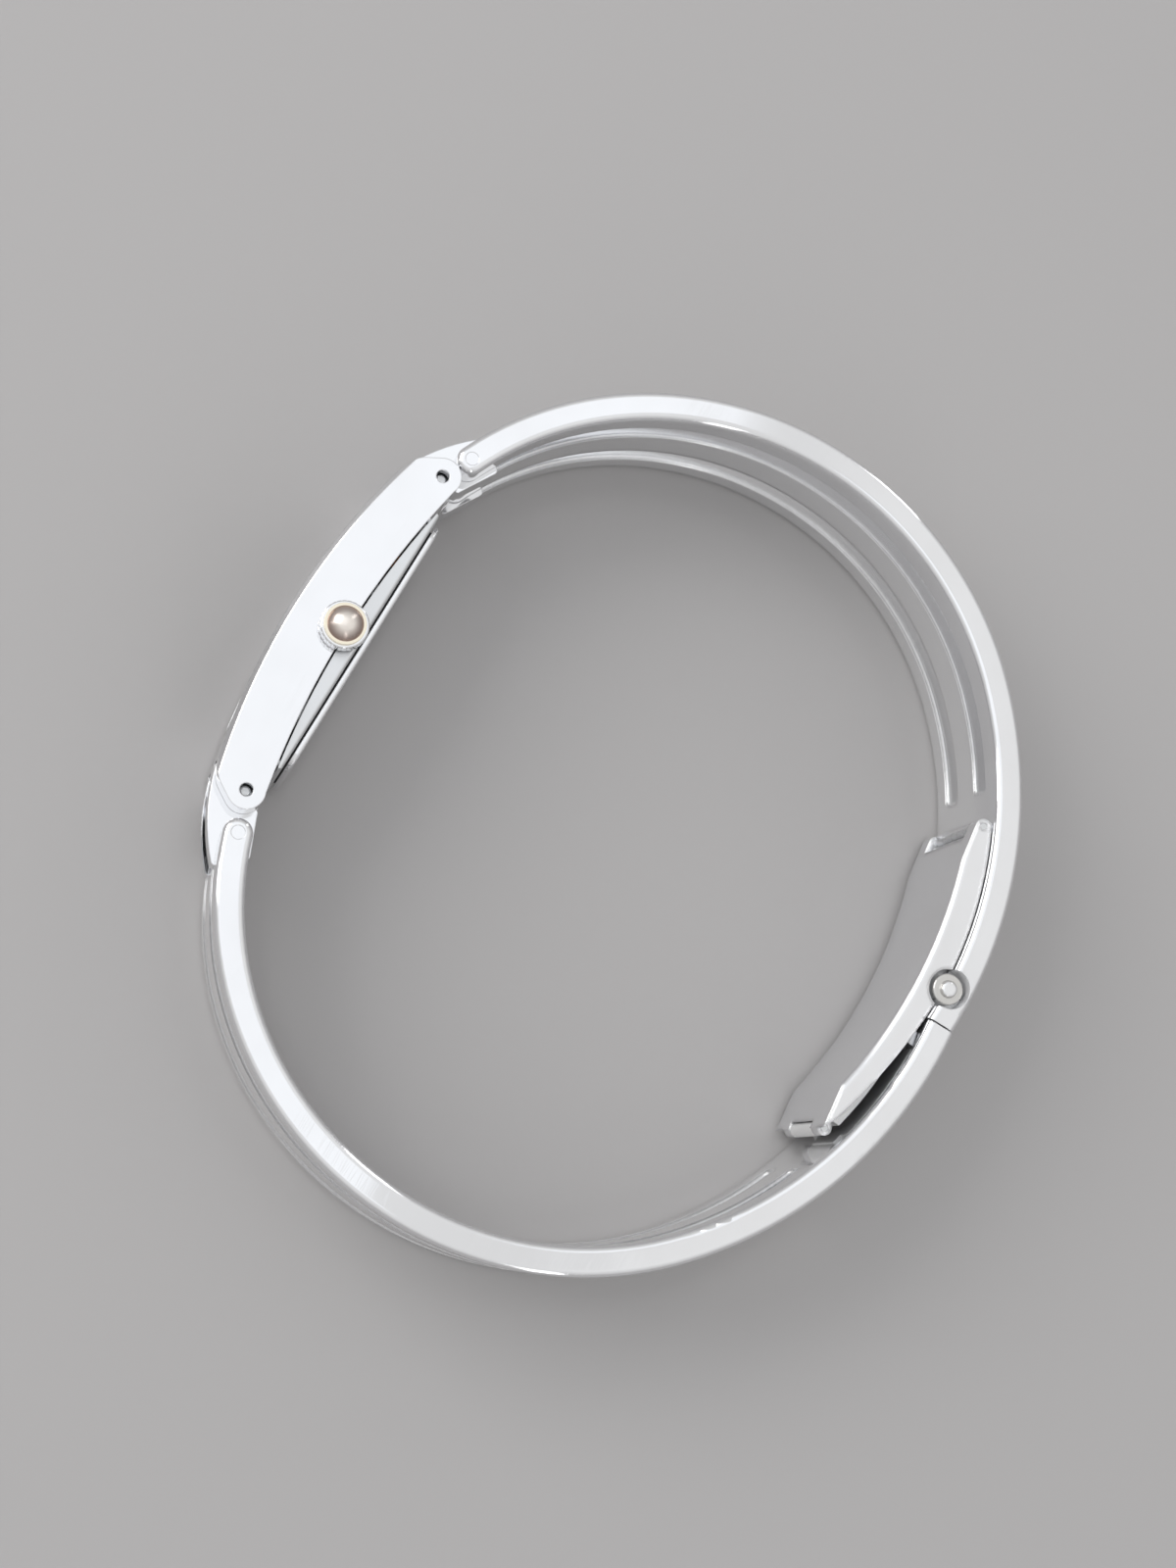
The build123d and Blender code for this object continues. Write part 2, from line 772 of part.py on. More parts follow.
def way_out(point):
    """The places of a point of the blade as it leaves the 12 side half."""
    shares = [path_share * step / path_steps for step in range(path_steps + 1)]
    return [seen_from_half_12(point, share) for share in shares]


def way_back(point):
    """The places of a point of the blade as it comes back to the 12 side half."""
    shares = [1 - path_share * step / path_steps for step in range(path_steps + 1)]
    return [seen_from_half_12(point, share) for share in shares]


pocket_length = button_y + catch_length / 2 + catch_gap - joint_line_y

# Band half on the 12 o'clock side, with the hinge lug, the catch pocket and the button recesses
with BuildPart() as band_half_12:
    add(bar_plate(1))
    with BuildSketch(side_plane(hinge_low_z + hinge_end_gap)):
        with Locations(hinge_u):
            Circle(hinge_eye_radius)
        with Locations((hinge_u[0] + hinge_lug_reach, hinge_u_y + hinge_lug_rise)):
            Circle(hinge_eye_radius)
        with Locations((hinge_u[0] + hinge_lug_reach, hinge_u_y)):
            Circle(hinge_pin_radius)
        make_hull()
        with Locations(*way_out(hinge_u), *way_back(hinge_u)):
            Circle(hinge_pin_radius + open_pivot_gap, mode=Mode.SUBTRACT)
        with Locations(clasp_middle_12):
            Circle(inner_clasp_radius + half_bar, mode=Mode.INTERSECT)
    extrude(amount=hinge_high_z - hinge_low_z - 2 * hinge_end_gap)
    with BuildSketch(side_plane(catch_low_z - catch_gap)):
        with Locations((button_place[0], button_y + catch_length / 2 + catch_gap - pocket_length / 2)):
            Rectangle(catch_height + 2 * catch_gap, pocket_length)
    extrude(amount=catch_width + 2 * catch_gap, mode=Mode.SUBTRACT)
    for low_z, high_z in ((0, button_recess_depth), (recess_floor_z, band_width)):
        with BuildSketch(side_plane(low_z)):
            with Locations(button_place):
                Circle(button_recess_radius)
            with Locations(*way_out(button_place)):
                Circle(button_head_radius + side_gap)
        extrude(amount=high_z - low_z, mode=Mode.SUBTRACT)
    with BuildSketch(side_plane(button_recess_depth)):
        with Locations(*way_out(button_place)):
            Circle(button_shaft_radius + button_way_gap)
    extrude(amount=band_width - 2 * button_recess_depth, mode=Mode.SUBTRACT)
band_half_12.part.label = "band_half_12"
export_step(band_half_12.part, "parts/band_half_12.step")


# Band half on the 6 o'clock side, with two ears that hold the leaf's end pin
ear_length = knuckle_length - hinge_end_gap
with BuildPart() as band_half_6:
    add(bar_plate(-1))
    for low_z in (hinge_low_z, hinge_high_z - ear_length):
        with BuildSketch(side_plane(low_z)):
            with Locations(hinge_j):
                Circle(end_eye_radius)
            with Locations((hinge_j[0] + end_eye_radius, hinge_j_y)):
                Rectangle(2 * end_eye_radius, 2 * end_eye_radius)
            with Locations(hinge_j):
                Circle(hinge_pin_radius, mode=Mode.SUBTRACT)
            with Locations(clasp_middle_6):
                Circle(inner_clasp_radius + half_bar, mode=Mode.INTERSECT)
        extrude(amount=ear_length)
band_half_6.part.label = "band_half_6"
export_step(band_half_6.part, "parts/band_half_6.step")

# Clasp blade: a crowned curved cover with tapered ends, two ears at U and two knuckles at L


def blade_inner_place(y):
    """A point on the blade's inner arc at a height of Y."""
    middle_x = beside_band(1, blade_middle_thickness, blade_centre_y)[0]
    reach = sqrt(blade_inner_radius**2 - (y - blade_centre_y) ** 2)
    return (middle_x - blade_inner_radius + reach, y)


upper_corner = blade_inner_place(blade_upper_corner_y)
lower_corner = blade_inner_place(blade_lower_corner_y)
outer_top = beside_band(1, blade_band_gap, hinge_u_y)
outer_middle = beside_band(1, blade_band_gap, (hinge_u_y + joint_line_y) / 2)
outer_low = beside_band(1, blade_band_gap, joint_line_y)
blade_tip = beside_band(-1, blade_tip_depth, blade_tip_y)
blade_low = beside_band(-1, blade_low_depth, blade_low_y)
blade_mid = beside_band(-1, blade_mid_depth, blade_mid_y)
with BuildPart() as clasp_blade:
    with BuildSketch(side_plane(blade_low_z)):
        with BuildLine():
            Line((hinge_u[0] - hinge_eye_radius, hinge_u_y), upper_corner)
            ThreePointArc(upper_corner, blade_inner_place(blade_centre_y), lower_corner)
            Polyline(lower_corner, blade_tip, blade_low)
            ThreePointArc(blade_low, blade_mid, outer_low)
            ThreePointArc(outer_low, outer_middle, outer_top)
            Line(outer_top, (hinge_u[0] - hinge_eye_radius, hinge_u_y))
        make_face()
        with Locations(hinge_u):
            Circle(hinge_eye_radius)
    extrude(amount=blade_width)
    inner_rims = clasp_blade.edges().filter_by(GeomType.CIRCLE).filter_by(
        lambda e: abs(e.radius - blade_inner_radius) < running_gap
    )
    fillet(inner_rims, blade_edge_round)
    # Room for the hinge lug of the band half, between the ears
    with BuildSketch(side_plane(hinge_low_z)):
        with Locations(hinge_u):
            Circle(hinge_room_radius)
    extrude(amount=hinge_high_z - hinge_low_z, mode=Mode.SUBTRACT)
    with BuildSketch(side_plane(blade_low_z)):
        with Locations(hinge_u):
            Circle(hinge_pin_radius)
    extrude(amount=blade_width, mode=Mode.SUBTRACT)
    # The channel that the folded leaf lies in
    channel = radial_box(
        clasp_middle_6,
        leaf_inner_radius - blade_channel_gap,
        clasp_radius,
        blade_channel_bottom_y,
        blade_channel_top_y,
        hinge_low_z - catch_gap,
        hinge_high_z + catch_gap,
    )
    add(channel, mode=Mode.SUBTRACT)
    for low_z in (hinge_low_z, hinge_high_z - ear_length):
        with BuildSketch(side_plane(low_z)):
            with Locations(hinge_l):
                Circle(hinge_l_eye_radius)
            with Locations((hinge_l[0] - hinge_l_eye_radius, hinge_l_y + hinge_l_eye_radius)):
                Circle(hinge_eye_radius)
            make_hull()
            with Locations(hinge_l):
                Circle(hinge_pin_radius, mode=Mode.SUBTRACT)
        extrude(amount=ear_length)
    # The ears end flush with the blade's inner face
    with BuildSketch(side_plane(hinge_low_z)):
        with BuildLine():
            Polyline(
                lower_corner,
                blade_tip,
                (blade_tip[0] - blade_middle_thickness, blade_tip_y),
                (lower_corner[0] - blade_middle_thickness, blade_lower_corner_y),
                close=True,
            )
        make_face()
    extrude(amount=hinge_high_z - hinge_low_z, mode=Mode.SUBTRACT)
    knuckle_high_z = hinge_high_z - knuckle_length
    knuckle_low_z = hinge_low_z + knuckle_length
    with BuildSketch(side_plane(knuckle_low_z - hinge_end_gap)):
        with Locations(hinge_l):
            Circle(hinge_l_eye_radius + catch_gap)
    extrude(amount=knuckle_high_z - knuckle_low_z + 2 * hinge_end_gap, mode=Mode.SUBTRACT)
    # Matching half of each button recess, and the buttons' shaft way
    for low_z, high_z in ((0, button_recess_depth), (recess_floor_z, band_width)):
        with BuildSketch(side_plane(low_z)):
            with Locations(button_place):
                Circle(button_recess_radius)
        extrude(amount=high_z - low_z, mode=Mode.SUBTRACT)
    with BuildSketch(side_plane(0)):
        with Locations(button_place):
            Circle(button_shaft_radius + running_gap)
    extrude(amount=band_width, mode=Mode.SUBTRACT)
    with BuildSketch(side_plane(catch_low_z)):
        with Locations(button_place):
            Rectangle(catch_height, catch_length)
    extrude(amount=catch_width, mode=Mode.SUBTRACT)
clasp_blade.part.label = "clasp_blade"
export_step(clasp_blade.part, "parts/clasp_blade.step")

# Catch block, let into the blade, with the buttons' bore
with BuildPart() as catch_block:
    with BuildSketch(side_plane(catch_low_z)):
        with Locations(button_place):
            Rectangle(catch_height, catch_length)
    extrude(amount=catch_width)
    fillet(catch_block.edges().group_by(Axis.X)[-1], catch_edge_round)
    with BuildSketch(side_plane(catch_low_z)):
        with Locations(button_place):
            Circle(button_shaft_radius + running_gap)
    extrude(amount=catch_width, mode=Mode.SUBTRACT)
    with BuildSketch(side_plane(catch_low_z + button_shoulder)):
        with Locations(button_place):
            Circle(button_collar_radius + running_gap)
    extrude(amount=catch_width - 2 * button_shoulder, mode=Mode.SUBTRACT)
catch_block.part.label = "catch_block"
export_step(catch_block.part, "parts/catch_block.step")


def push_button(up):
    """One push button: a shaft in the catch block, a round head and a small dome."""
    top_z = band_width - button_head_sink if up else button_head_sink
    way = 1 if up else -1
    with BuildPart() as button:
        with BuildSketch(side_plane(top_z)):
            with Locations(button_place):
                Circle(button_head_radius)
        extrude(amount=-way * button_head_height)
        rim = button.edges().filter_by(lambda e: abs(e.center().Z - top_z) < running_gap)
        fillet(rim, outer_edge_round)
        with BuildSketch(side_plane(top_z)):
            with Locations(button_place):
                Circle(button_dome_radius)
        extrude(amount=way * button_dome_height)
        crest = top_z + way * button_dome_height
        fillet(
            button.edges().filter_by(lambda e: abs(e.center().Z - crest) < running_gap),
            button_dome_height - running_gap,
        )
        with BuildSketch(side_plane(top_z - way * button_head_height)):
            with Locations(button_place):
                Circle(button_shaft_radius)
        extrude(amount=-way * button_shaft_length)
        shaft_end = top_z - way * (button_head_height + button_shaft_length)
        with BuildSketch(side_plane(shaft_end)):
            with Locations(button_place):
                Circle(button_collar_radius)
        extrude(amount=way * button_collar_thickness)
    return button.part


with BuildPart() as push_button_near:
    add(push_button(True))
push_button_near.part.label = "push_button_near"
export_step(push_button_near.part, "parts/push_button_near.step")

with BuildPart() as push_button_far:
    add(push_button(False))
push_button_far.part.label = "push_button_far"
export_step(push_button_far.part, "parts/push_button_far.step")

# The coil spring that pushes both buttons out
shaft_end_z = button_head_sink + button_head_height + button_shaft_length
spring_span = band_width - 2 * (shaft_end_z + spring_wire_radius + running_gap)
with BuildPart() as button_spring:
    with BuildLine() as spring_line:
        Helix(
            pitch=spring_span / spring_turns,
            height=spring_span,
            radius=spring_radius,
            center=(
                pin_line_x + button_place[0],
                case_mid_y + button_y,
                middle_z - spring_span / 2,
            ),
        )
    with BuildSketch(Plane(origin=spring_line.line @ 0, z_dir=spring_line.line % 0)):
        Circle(spring_wire_radius)
    sweep(is_frenet=True)
button_spring.part.label = "button_spring"
export_step(button_spring.part, "parts/button_spring.step")

# Clasp leaf, its eyes on the pins at L and J
leaf_low_z = knuckle_low_z
leaf_high_z = knuckle_high_z
wing_low_y = hinge_l_y + hinge_l_eye_radius + leaf_wing_gap
wing_high_y = hinge_j_y - end_eye_radius - leaf_wing_gap
with BuildPart() as clasp_leaf:
    with BuildSketch(side_plane(leaf_low_z)):
        with Locations(clasp_middle_6):
            Circle(leaf_outer_radius)
            Circle(leaf_inner_radius, mode=Mode.SUBTRACT)
        with Locations((clasp_middle_6[0] + leaf_outer_radius, (hinge_l_y + hinge_j_y) / 2)):
            Rectangle(leaf_outer_radius, hinge_j_y - hinge_l_y, mode=Mode.INTERSECT)
        with Locations(hinge_l):
            Circle(hinge_l_eye_radius)
        with Locations(hinge_j):
            Circle(end_eye_radius)
        with Locations(hinge_l, hinge_j):
            Circle(hinge_pin_radius + running_gap, mode=Mode.SUBTRACT)
    extrude(amount=leaf_high_z - leaf_low_z)
    # Between its hinges the leaf is nearly as wide as the blade's channel
    with BuildSketch(side_plane(hinge_low_z + hinge_end_gap)):
        with Locations(clasp_middle_6):
            Circle(leaf_outer_radius)
            Circle(leaf_inner_radius, mode=Mode.SUBTRACT)
        with Locations((clasp_middle_6[0] + leaf_outer_radius, (wing_low_y + wing_high_y) / 2)):
            Rectangle(leaf_outer_radius, wing_high_y - wing_low_y, mode=Mode.INTERSECT)
    extrude(amount=hinge_high_z - hinge_low_z - 2 * hinge_end_gap)
clasp_leaf.part.label = "clasp_leaf"
export_step(clasp_leaf.part, "parts/clasp_leaf.step")

# Hinge pins of the clasp: U in the blade's ears, L in its knuckles, J in the 6 side half's ears
with BuildPart() as blade_pin:
    with BuildSketch(side_plane(blade_low_z + running_gap)):
        with Locations(hinge_u):
            Circle(hinge_pin_radius)
    extrude(amount=blade_width - 2 * running_gap)
blade_pin.part.label = "blade_pin"
export_step(blade_pin.part, "parts/blade_pin.step")

with BuildPart() as leaf_pin:
    with BuildSketch(side_plane(hinge_low_z)):
        with Locations(hinge_l):
            Circle(hinge_pin_radius)
    extrude(amount=hinge_high_z - hinge_low_z)
leaf_pin.part.label = "leaf_pin"
export_step(leaf_pin.part, "parts/leaf_pin.step")

with BuildPart() as end_pin:
    with BuildSketch(side_plane(hinge_low_z + running_gap)):
        with Locations(hinge_j):
            Circle(hinge_pin_radius)
    extrude(amount=hinge_high_z - hinge_low_z - 2 * running_gap)
end_pin.part.label = "end_pin"
export_step(end_pin.part, "parts/end_pin.step")

# Crown tube pressed into the case
cavity_side_z = middle_z + cavity_width / 2
with BuildPart() as crown_tube:
    with BuildSketch(side_plane(cavity_side_z)):
        with Locations((crown_axis_x, 0)):
            Circle(tube_outer_radius)
            Circle(tube_inner_radius, mode=Mode.SUBTRACT)
    extrude(amount=band_width + tube_stand - cavity_side_z)
crown_tube.part.label = "crown_tube"
export_step(crown_tube.part, "parts/crown_tube.step")

# Winding stem with the groove that the setting lever's fork sits in
crown_low_z = band_width + crown_gap
recess_top_z = crown_low_z + crown_recess_depth
groove_height = lever_thickness + 2 * side_gap
with BuildPart() as stem:
    with BuildSketch(side_plane(stem_inner_z)):
        with Locations((crown_axis_x, 0)):
            Circle(stem_radius)
    extrude(amount=recess_top_z - stem_inner_z)
    with BuildSketch(side_plane(lever_z - side_gap)):
        with Locations((crown_axis_x, 0)):
            Circle(stem_radius)
            Circle(stem_groove_radius, mode=Mode.SUBTRACT)
    extrude(amount=groove_height, mode=Mode.SUBTRACT)
stem.part.label = "stem"
export_step(stem.part, "parts/stem.step")

# Setting lever: a flat fork that moves in and out with the stem
with BuildPart() as setting_lever:
    with BuildSketch(side_plane(lever_z)):
        with Locations((crown_axis_x, -lever_length / 2)):
            Rectangle(lever_width, lever_length + lever_width)
        with Locations((crown_axis_x, 0)):
            Circle(stem_groove_radius + running_gap, mode=Mode.SUBTRACT)
        with Locations((crown_axis_x, lever_width)):
            Rectangle(2 * (stem_groove_radius + running_gap), 2 * lever_width, mode=Mode.SUBTRACT)
    extrude(amount=lever_thickness)
setting_lever.part.label = "setting_lever"
export_step(setting_lever.part, "parts/setting_lever.step")

# Crown: a fluted steel collar with a recess for its gasket
crown_top_z = crown_low_z + crown_height
with BuildPart() as crown:
    with BuildSketch(side_plane(crown_low_z)):
        with Locations((crown_axis_x, 0)):
            Circle(crown_radius)
    extrude(amount=crown_height)
    fillet(crown.edges().group_by(Axis.Z)[-1], crown_edge_round)
    fillet(crown.edges().group_by(Axis.Z)[0], crown_edge_round)
    with BuildSketch(side_plane(crown_low_z)):
        with Locations((crown_axis_x, 0)):
            with PolarLocations(crown_radius + crown_flute_radius / 2, crown_flutes):
                Circle(crown_flute_radius)
    extrude(amount=crown_height, mode=Mode.SUBTRACT)
    with BuildSketch(side_plane(crown_low_z)):
        with Locations((crown_axis_x, 0)):
            Circle(crown_recess_radius)
    extrude(amount=crown_recess_depth, mode=Mode.SUBTRACT)
crown.part.label = "crown"
export_step(crown.part, "parts/crown.step")

with BuildPart() as crown_gasket:
    with BuildSketch(side_plane(band_width + crown_gap)):
        with Locations((crown_axis_x, 0)):
            Circle(crown_recess_radius)
            Circle(tube_outer_radius + running_gap, mode=Mode.SUBTRACT)
    extrude(amount=crown_recess_depth / 2)
crown_gasket.part.label = "crown_gasket"
export_step(crown_gasket.part, "parts/crown_gasket.step")

# Domed gold cap, a turned ring and a dome
dome_base_z = crown_top_z + cap_ring_height
dome_sphere_radius = (cap_dome_radius**2 + cap_dome_height**2) / (2 * cap_dome_height)
cap_plane = Plane(
    origin=(pin_line_x + crown_axis_x, case_mid_y, 0), x_dir=(1, 0, 0), z_dir=(0, -1, 0)
)
with BuildPart() as crown_cap:
    with BuildSketch(cap_plane):
        with BuildLine():
            Polyline(
                (0, crown_top_z),
                (cap_ring_radius, crown_top_z),
                (cap_ring_radius, dome_base_z),
                (cap_dome_radius, dome_base_z),
            )
            bulge_x = dome_sphere_radius * sin(asin(cap_dome_radius / dome_sphere_radius) / 2)
            bulge_z = sqrt(dome_sphere_radius**2 - bulge_x**2)
            dome_drop = dome_sphere_radius - cap_dome_height
            ThreePointArc(
                (cap_dome_radius, dome_base_z),
                (bulge_x, dome_base_z + bulge_z - dome_drop),
                (0, dome_base_z + cap_dome_height),
            )
            Line((0, dome_base_z + cap_dome_height), (0, crown_top_z))
        make_face()
    revolve(axis=Axis((pin_line_x + crown_axis_x, case_mid_y, 0), (0, 0, 1)))
crown_cap.part.label = "crown_cap"
export_step(crown_cap.part, "parts/crown_cap.step")

# Dial: a thin plate on the movement, held under the window's ledge
with BuildPart() as dial:
    with BuildSketch(dial_plane(dial_back_x)):
        RectangleRounded(
            cavity_width - 2 * dial_side_gap,
            cavity_length - 2 * dial_side_gap,
            cavity_corner - dial_side_gap,
        )
        Circle(dial_hole_radius, mode=Mode.SUBTRACT)
    extrude(amount=dial_thickness)
dial.part.label = "dial"
export_step(dial.part, "parts/dial.step")


def gear_points(teeth, start_angle):
    """The outline of a small wheel: straight-flanked teeth, thin enough to run freely."""
    pitch_radius = gear_module * teeth / 2
    tip_radius = pitch_radius + addendum_share * gear_module
    root_radius = pitch_radius - dedendum_share * gear_module
    half_tooth = tooth_share * pi / teeth
    points = []
    for number in range(teeth):
        middle = radians(start_angle) + 2 * pi * number / teeth
        for radius, spread in (
            (root_radius, -tooth_root_share),
            (tip_radius, -tooth_tip_share),
            (tip_radius, tooth_tip_share),
            (root_radius, tooth_root_share),
        ):
            angle = middle + spread * half_tooth
            points.append((radius * cos(angle), radius * sin(angle)))
    return points


def gear_sketch(teeth, start_angle, bore_radius):
    """A toothed disc with its bore, drawn about the origin."""
    with BuildSketch() as outline:
        with BuildLine():
            Polyline(*gear_points(teeth, start_angle), close=True)
        make_face()
        Circle(bore_radius, mode=Mode.SUBTRACT)
    return outline.sketch


wheel_place = (0, -gear_distance)
toward_wheel = -90.0
half_turn = 180.0
bore_radius = post_radius + bore_gap
minute_tip_x = minute_hand_x - hand_thickness - hand_cap_stand

# Cannon pinion: it carries the minute hand
with BuildPart() as cannon_pinion:
    with BuildSketch(dial_plane(cannon_low_x)):
        add(gear_sketch(cannon_teeth, toward_wheel, bore_radius))
    extrude(amount=cannon_teeth_height)
    with BuildSketch(dial_plane(cannon_low_x)):
        Circle(cannon_tube_radius)
        Circle(bore_radius, mode=Mode.SUBTRACT)
    extrude(amount=cannon_low_x - minute_tip_x)
cannon_pinion.part.label = "cannon_pinion"
export_step(cannon_pinion.part, "parts/cannon_pinion.step")

# Minute wheel with its pinion, on a post beside the centre
wheel_gap_angle = toward_wheel + half_turn + half_turn / minute_wheel_teeth
with BuildPart() as minute_wheel:
    with BuildSketch(dial_plane(minute_wheel_low_x)):
        with Locations(wheel_place):
            add(gear_sketch(minute_wheel_teeth, wheel_gap_angle, bore_radius))
    extrude(amount=minute_wheel_height)
    with BuildSketch(dial_plane(minute_wheel_low_x)):
        with Locations(wheel_place):
            add(gear_sketch(minute_pinion_teeth, toward_wheel + half_turn, bore_radius))
    extrude(amount=minute_wheel_low_x - minute_pinion_top_x)
minute_wheel.part.label = "minute_wheel"
export_step(minute_wheel.part, "parts/minute_wheel.step")

# Hour wheel: its tube runs on the cannon pinion and carries the hour hand
hour_gap_angle = toward_wheel + half_turn / hour_wheel_teeth
hour_tube_top_x = hour_hand_x - hand_thickness - hand_cap_stand
with BuildPart() as hour_wheel:
    with BuildSketch(dial_plane(hour_wheel_low_x)):
        add(gear_sketch(hour_wheel_teeth, hour_gap_angle, cannon_tube_radius + tube_gap))
    extrude(amount=hour_wheel_height)
    with BuildSketch(dial_plane(hour_wheel_low_x)):
        Circle(hour_tube_radius)
        Circle(cannon_tube_radius + tube_gap, mode=Mode.SUBTRACT)
    extrude(amount=hour_wheel_low_x - hour_tube_top_x)
hour_wheel.part.label = "hour_wheel"
export_step(hour_wheel.part, "parts/hour_wheel.step")


def hand(base_x, tube_radius, length, width, turn):
    """A tapered baton hand with a short tail and a round hub on its tube."""
    with BuildPart() as blade:
        with BuildSketch(dial_plane(base_x)):
            with Locations(Rotation(0, 0, turn)):
                with BuildLine():
                    Polyline(
                        (-width / 2, -hand_tail),
                        (width / 2, -hand_tail),
                        (width / 2, 0),
                        (hand_tip_width / 2, length),
                        (-hand_tip_width / 2, length),
                        (-width / 2, 0),
                        close=True,
                    )
                make_face()
            Circle(tube_radius + hand_hub_wall)
            Circle(tube_radius, mode=Mode.SUBTRACT)
        extrude(amount=hand_thickness)
    return blade.part


hour_hand_turn = 60.0
minute_hand_turn = -60.0
with BuildPart() as hour_hand:
    add(hand(hour_hand_x, hour_tube_radius, hour_hand_length, hour_hand_width, hour_hand_turn))
hour_hand.part.label = "hour_hand"
export_step(hour_hand.part, "parts/hour_hand.step")

with BuildPart() as minute_hand:
    add(hand(minute_hand_x, cannon_tube_radius, minute_hand_length, minute_hand_width, minute_hand_turn))
minute_hand.part.label = "minute_hand"
export_step(minute_hand.part, "parts/minute_hand.step")

# Movement main plate, with the recess and posts of the motion work
with BuildPart() as movement_plate:
    with BuildSketch(dial_plane(plate_bottom_x)):
        RectangleRounded(plate_width, plate_length, plate_corner)
    extrude(amount=plate_bottom_x - plate_top_x)
    with BuildSketch(dial_plane(recess_floor_x)):
        Circle(recess_radius)
        with Locations(wheel_place):
            Circle(recess_radius)
    extrude(amount=cut_over, mode=Mode.SUBTRACT)
    with BuildSketch(dial_plane(recess_floor_x)):
        Circle(post_radius)
    extrude(amount=recess_floor_x - minute_tip_x)
    with BuildSketch(dial_plane(recess_floor_x)):
        with Locations(wheel_place):
            Circle(post_radius)
    extrude(amount=recess_floor_x - minute_pinion_top_x)
    with BuildSketch(side_plane(lever_z - catch_gap)):
        with Locations((crown_axis_x, -lever_length / 2)):
            Rectangle(lever_width + 2 * lever_gap, lever_length + lever_width + 2 * lever_gap)
    extrude(amount=lever_thickness + crown_pull + 2 * catch_gap, mode=Mode.SUBTRACT)
movement_plate.part.label = "movement_plate"
export_step(movement_plate.part, "parts/movement_plate.step")

# Train and motor housing, left solid inside
with BuildPart() as train_housing:
    with BuildSketch(dial_plane(plate_bottom_x + bridge_height)):
        with Locations((bridge_z - middle_z, bridge_y)):
            RectangleRounded(bridge_width, bridge_length, plate_corner)
    extrude(amount=bridge_height)
    chamfer(train_housing.edges().group_by(Axis.X)[-1], outer_edge_round)
train_housing.part.label = "train_housing"
export_step(train_housing.part, "parts/train_housing.step")

# Button cell: the can and its stepped lid
with BuildPart() as battery:
    with BuildSketch(dial_plane(plate_bottom_x + battery_thickness)):
        with Locations((0, battery_y)):
            Circle(battery_radius)
    extrude(amount=battery_thickness - battery_lip)
    with BuildSketch(dial_plane(plate_bottom_x + battery_lip)):
        with Locations((0, battery_y)):
            Circle(battery_radius - battery_lip)
    extrude(amount=battery_lip)
    fillet(battery.edges().group_by(Axis.X)[-1], outer_edge_round)
battery.part.label = "battery"
export_step(battery.part, "parts/battery.step")

# Contact strap over the cell, with a foot at its end
strap_low_x = plate_bottom_x + battery_thickness + strap_thickness
with BuildPart() as battery_strap:
    with BuildSketch(dial_plane(strap_low_x)):
        with Locations((0, (battery_y - strap_end_y) / 2)):
            Rectangle(strap_width, strap_end_y + battery_y)
    extrude(amount=strap_thickness)
    with BuildSketch(dial_plane(strap_low_x)):
        with Locations((0, -strap_end_y - strap_thickness / 2)):
            Rectangle(strap_width, strap_thickness)
    extrude(amount=strap_low_x - plate_bottom_x)
battery_strap.part.label = "battery_strap"
export_step(battery_strap.part, "parts/battery_strap.step")

# Coil with its core, laid across the movement
with BuildPart() as coil:
    for radius, length in ((coil_radius, coil_length), (coil_core_radius, coil_core_length)):
        with BuildSketch(side_plane(middle_z - length / 2)):
            with Locations((coil_x, coil_y)):
                Circle(radius)
        extrude(amount=length)
coil.part.label = "coil"
export_step(coil.part, "parts/coil.step")

# Circuit board, and the quartz can on it
with BuildPart() as circuit_board:
    with BuildSketch(dial_plane(plate_bottom_x + board_thickness)):
        with Locations((0, board_y)):
            RectangleRounded(board_width, board_length, plate_corner)
    extrude(amount=board_thickness)
circuit_board.part.label = "circuit_board"
export_step(circuit_board.part, "parts/circuit_board.step")

with BuildPart() as quartz_can:
    with BuildSketch(side_plane(middle_z - quartz_length / 2)):
        with Locations((plate_bottom_x + board_thickness + quartz_radius, quartz_y)):
            Circle(quartz_radius)
    extrude(amount=quartz_length)
    fillet(quartz_can.edges().filter_by(GeomType.CIRCLE), outer_edge_round)
quartz_can.part.label = "quartz_can"
export_step(quartz_can.part, "parts/quartz_can.step")
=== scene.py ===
"""Bangle watch: the finishes, the dial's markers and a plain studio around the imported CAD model."""

import math

import bpy
from mathutils import Matrix, Vector


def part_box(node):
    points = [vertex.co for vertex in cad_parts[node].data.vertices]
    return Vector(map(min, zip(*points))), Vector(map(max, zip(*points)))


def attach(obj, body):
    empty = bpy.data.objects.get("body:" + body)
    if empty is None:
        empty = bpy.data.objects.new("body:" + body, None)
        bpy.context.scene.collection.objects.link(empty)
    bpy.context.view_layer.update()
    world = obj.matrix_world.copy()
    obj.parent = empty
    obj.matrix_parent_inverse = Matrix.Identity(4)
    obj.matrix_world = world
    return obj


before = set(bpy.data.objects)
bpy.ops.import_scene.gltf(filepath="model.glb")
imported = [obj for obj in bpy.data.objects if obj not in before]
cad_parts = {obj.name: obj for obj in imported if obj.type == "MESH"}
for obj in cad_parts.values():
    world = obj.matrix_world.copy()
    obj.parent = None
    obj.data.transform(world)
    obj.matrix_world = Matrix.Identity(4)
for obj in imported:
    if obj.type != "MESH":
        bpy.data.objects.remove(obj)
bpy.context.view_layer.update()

bl_info = {
    "name": "Bangle Watch",
    "version": (1, 0, 0),
    "blender": (4, 5, 0),
    "location": "3D View > Sidebar > Bangle Watch",
    "description": "Dresses a bangle watch: polished bars, crown, dial, clasp and studio",
    "category": "Add Mesh",
}

HALF = 0.5
MM = 0.001

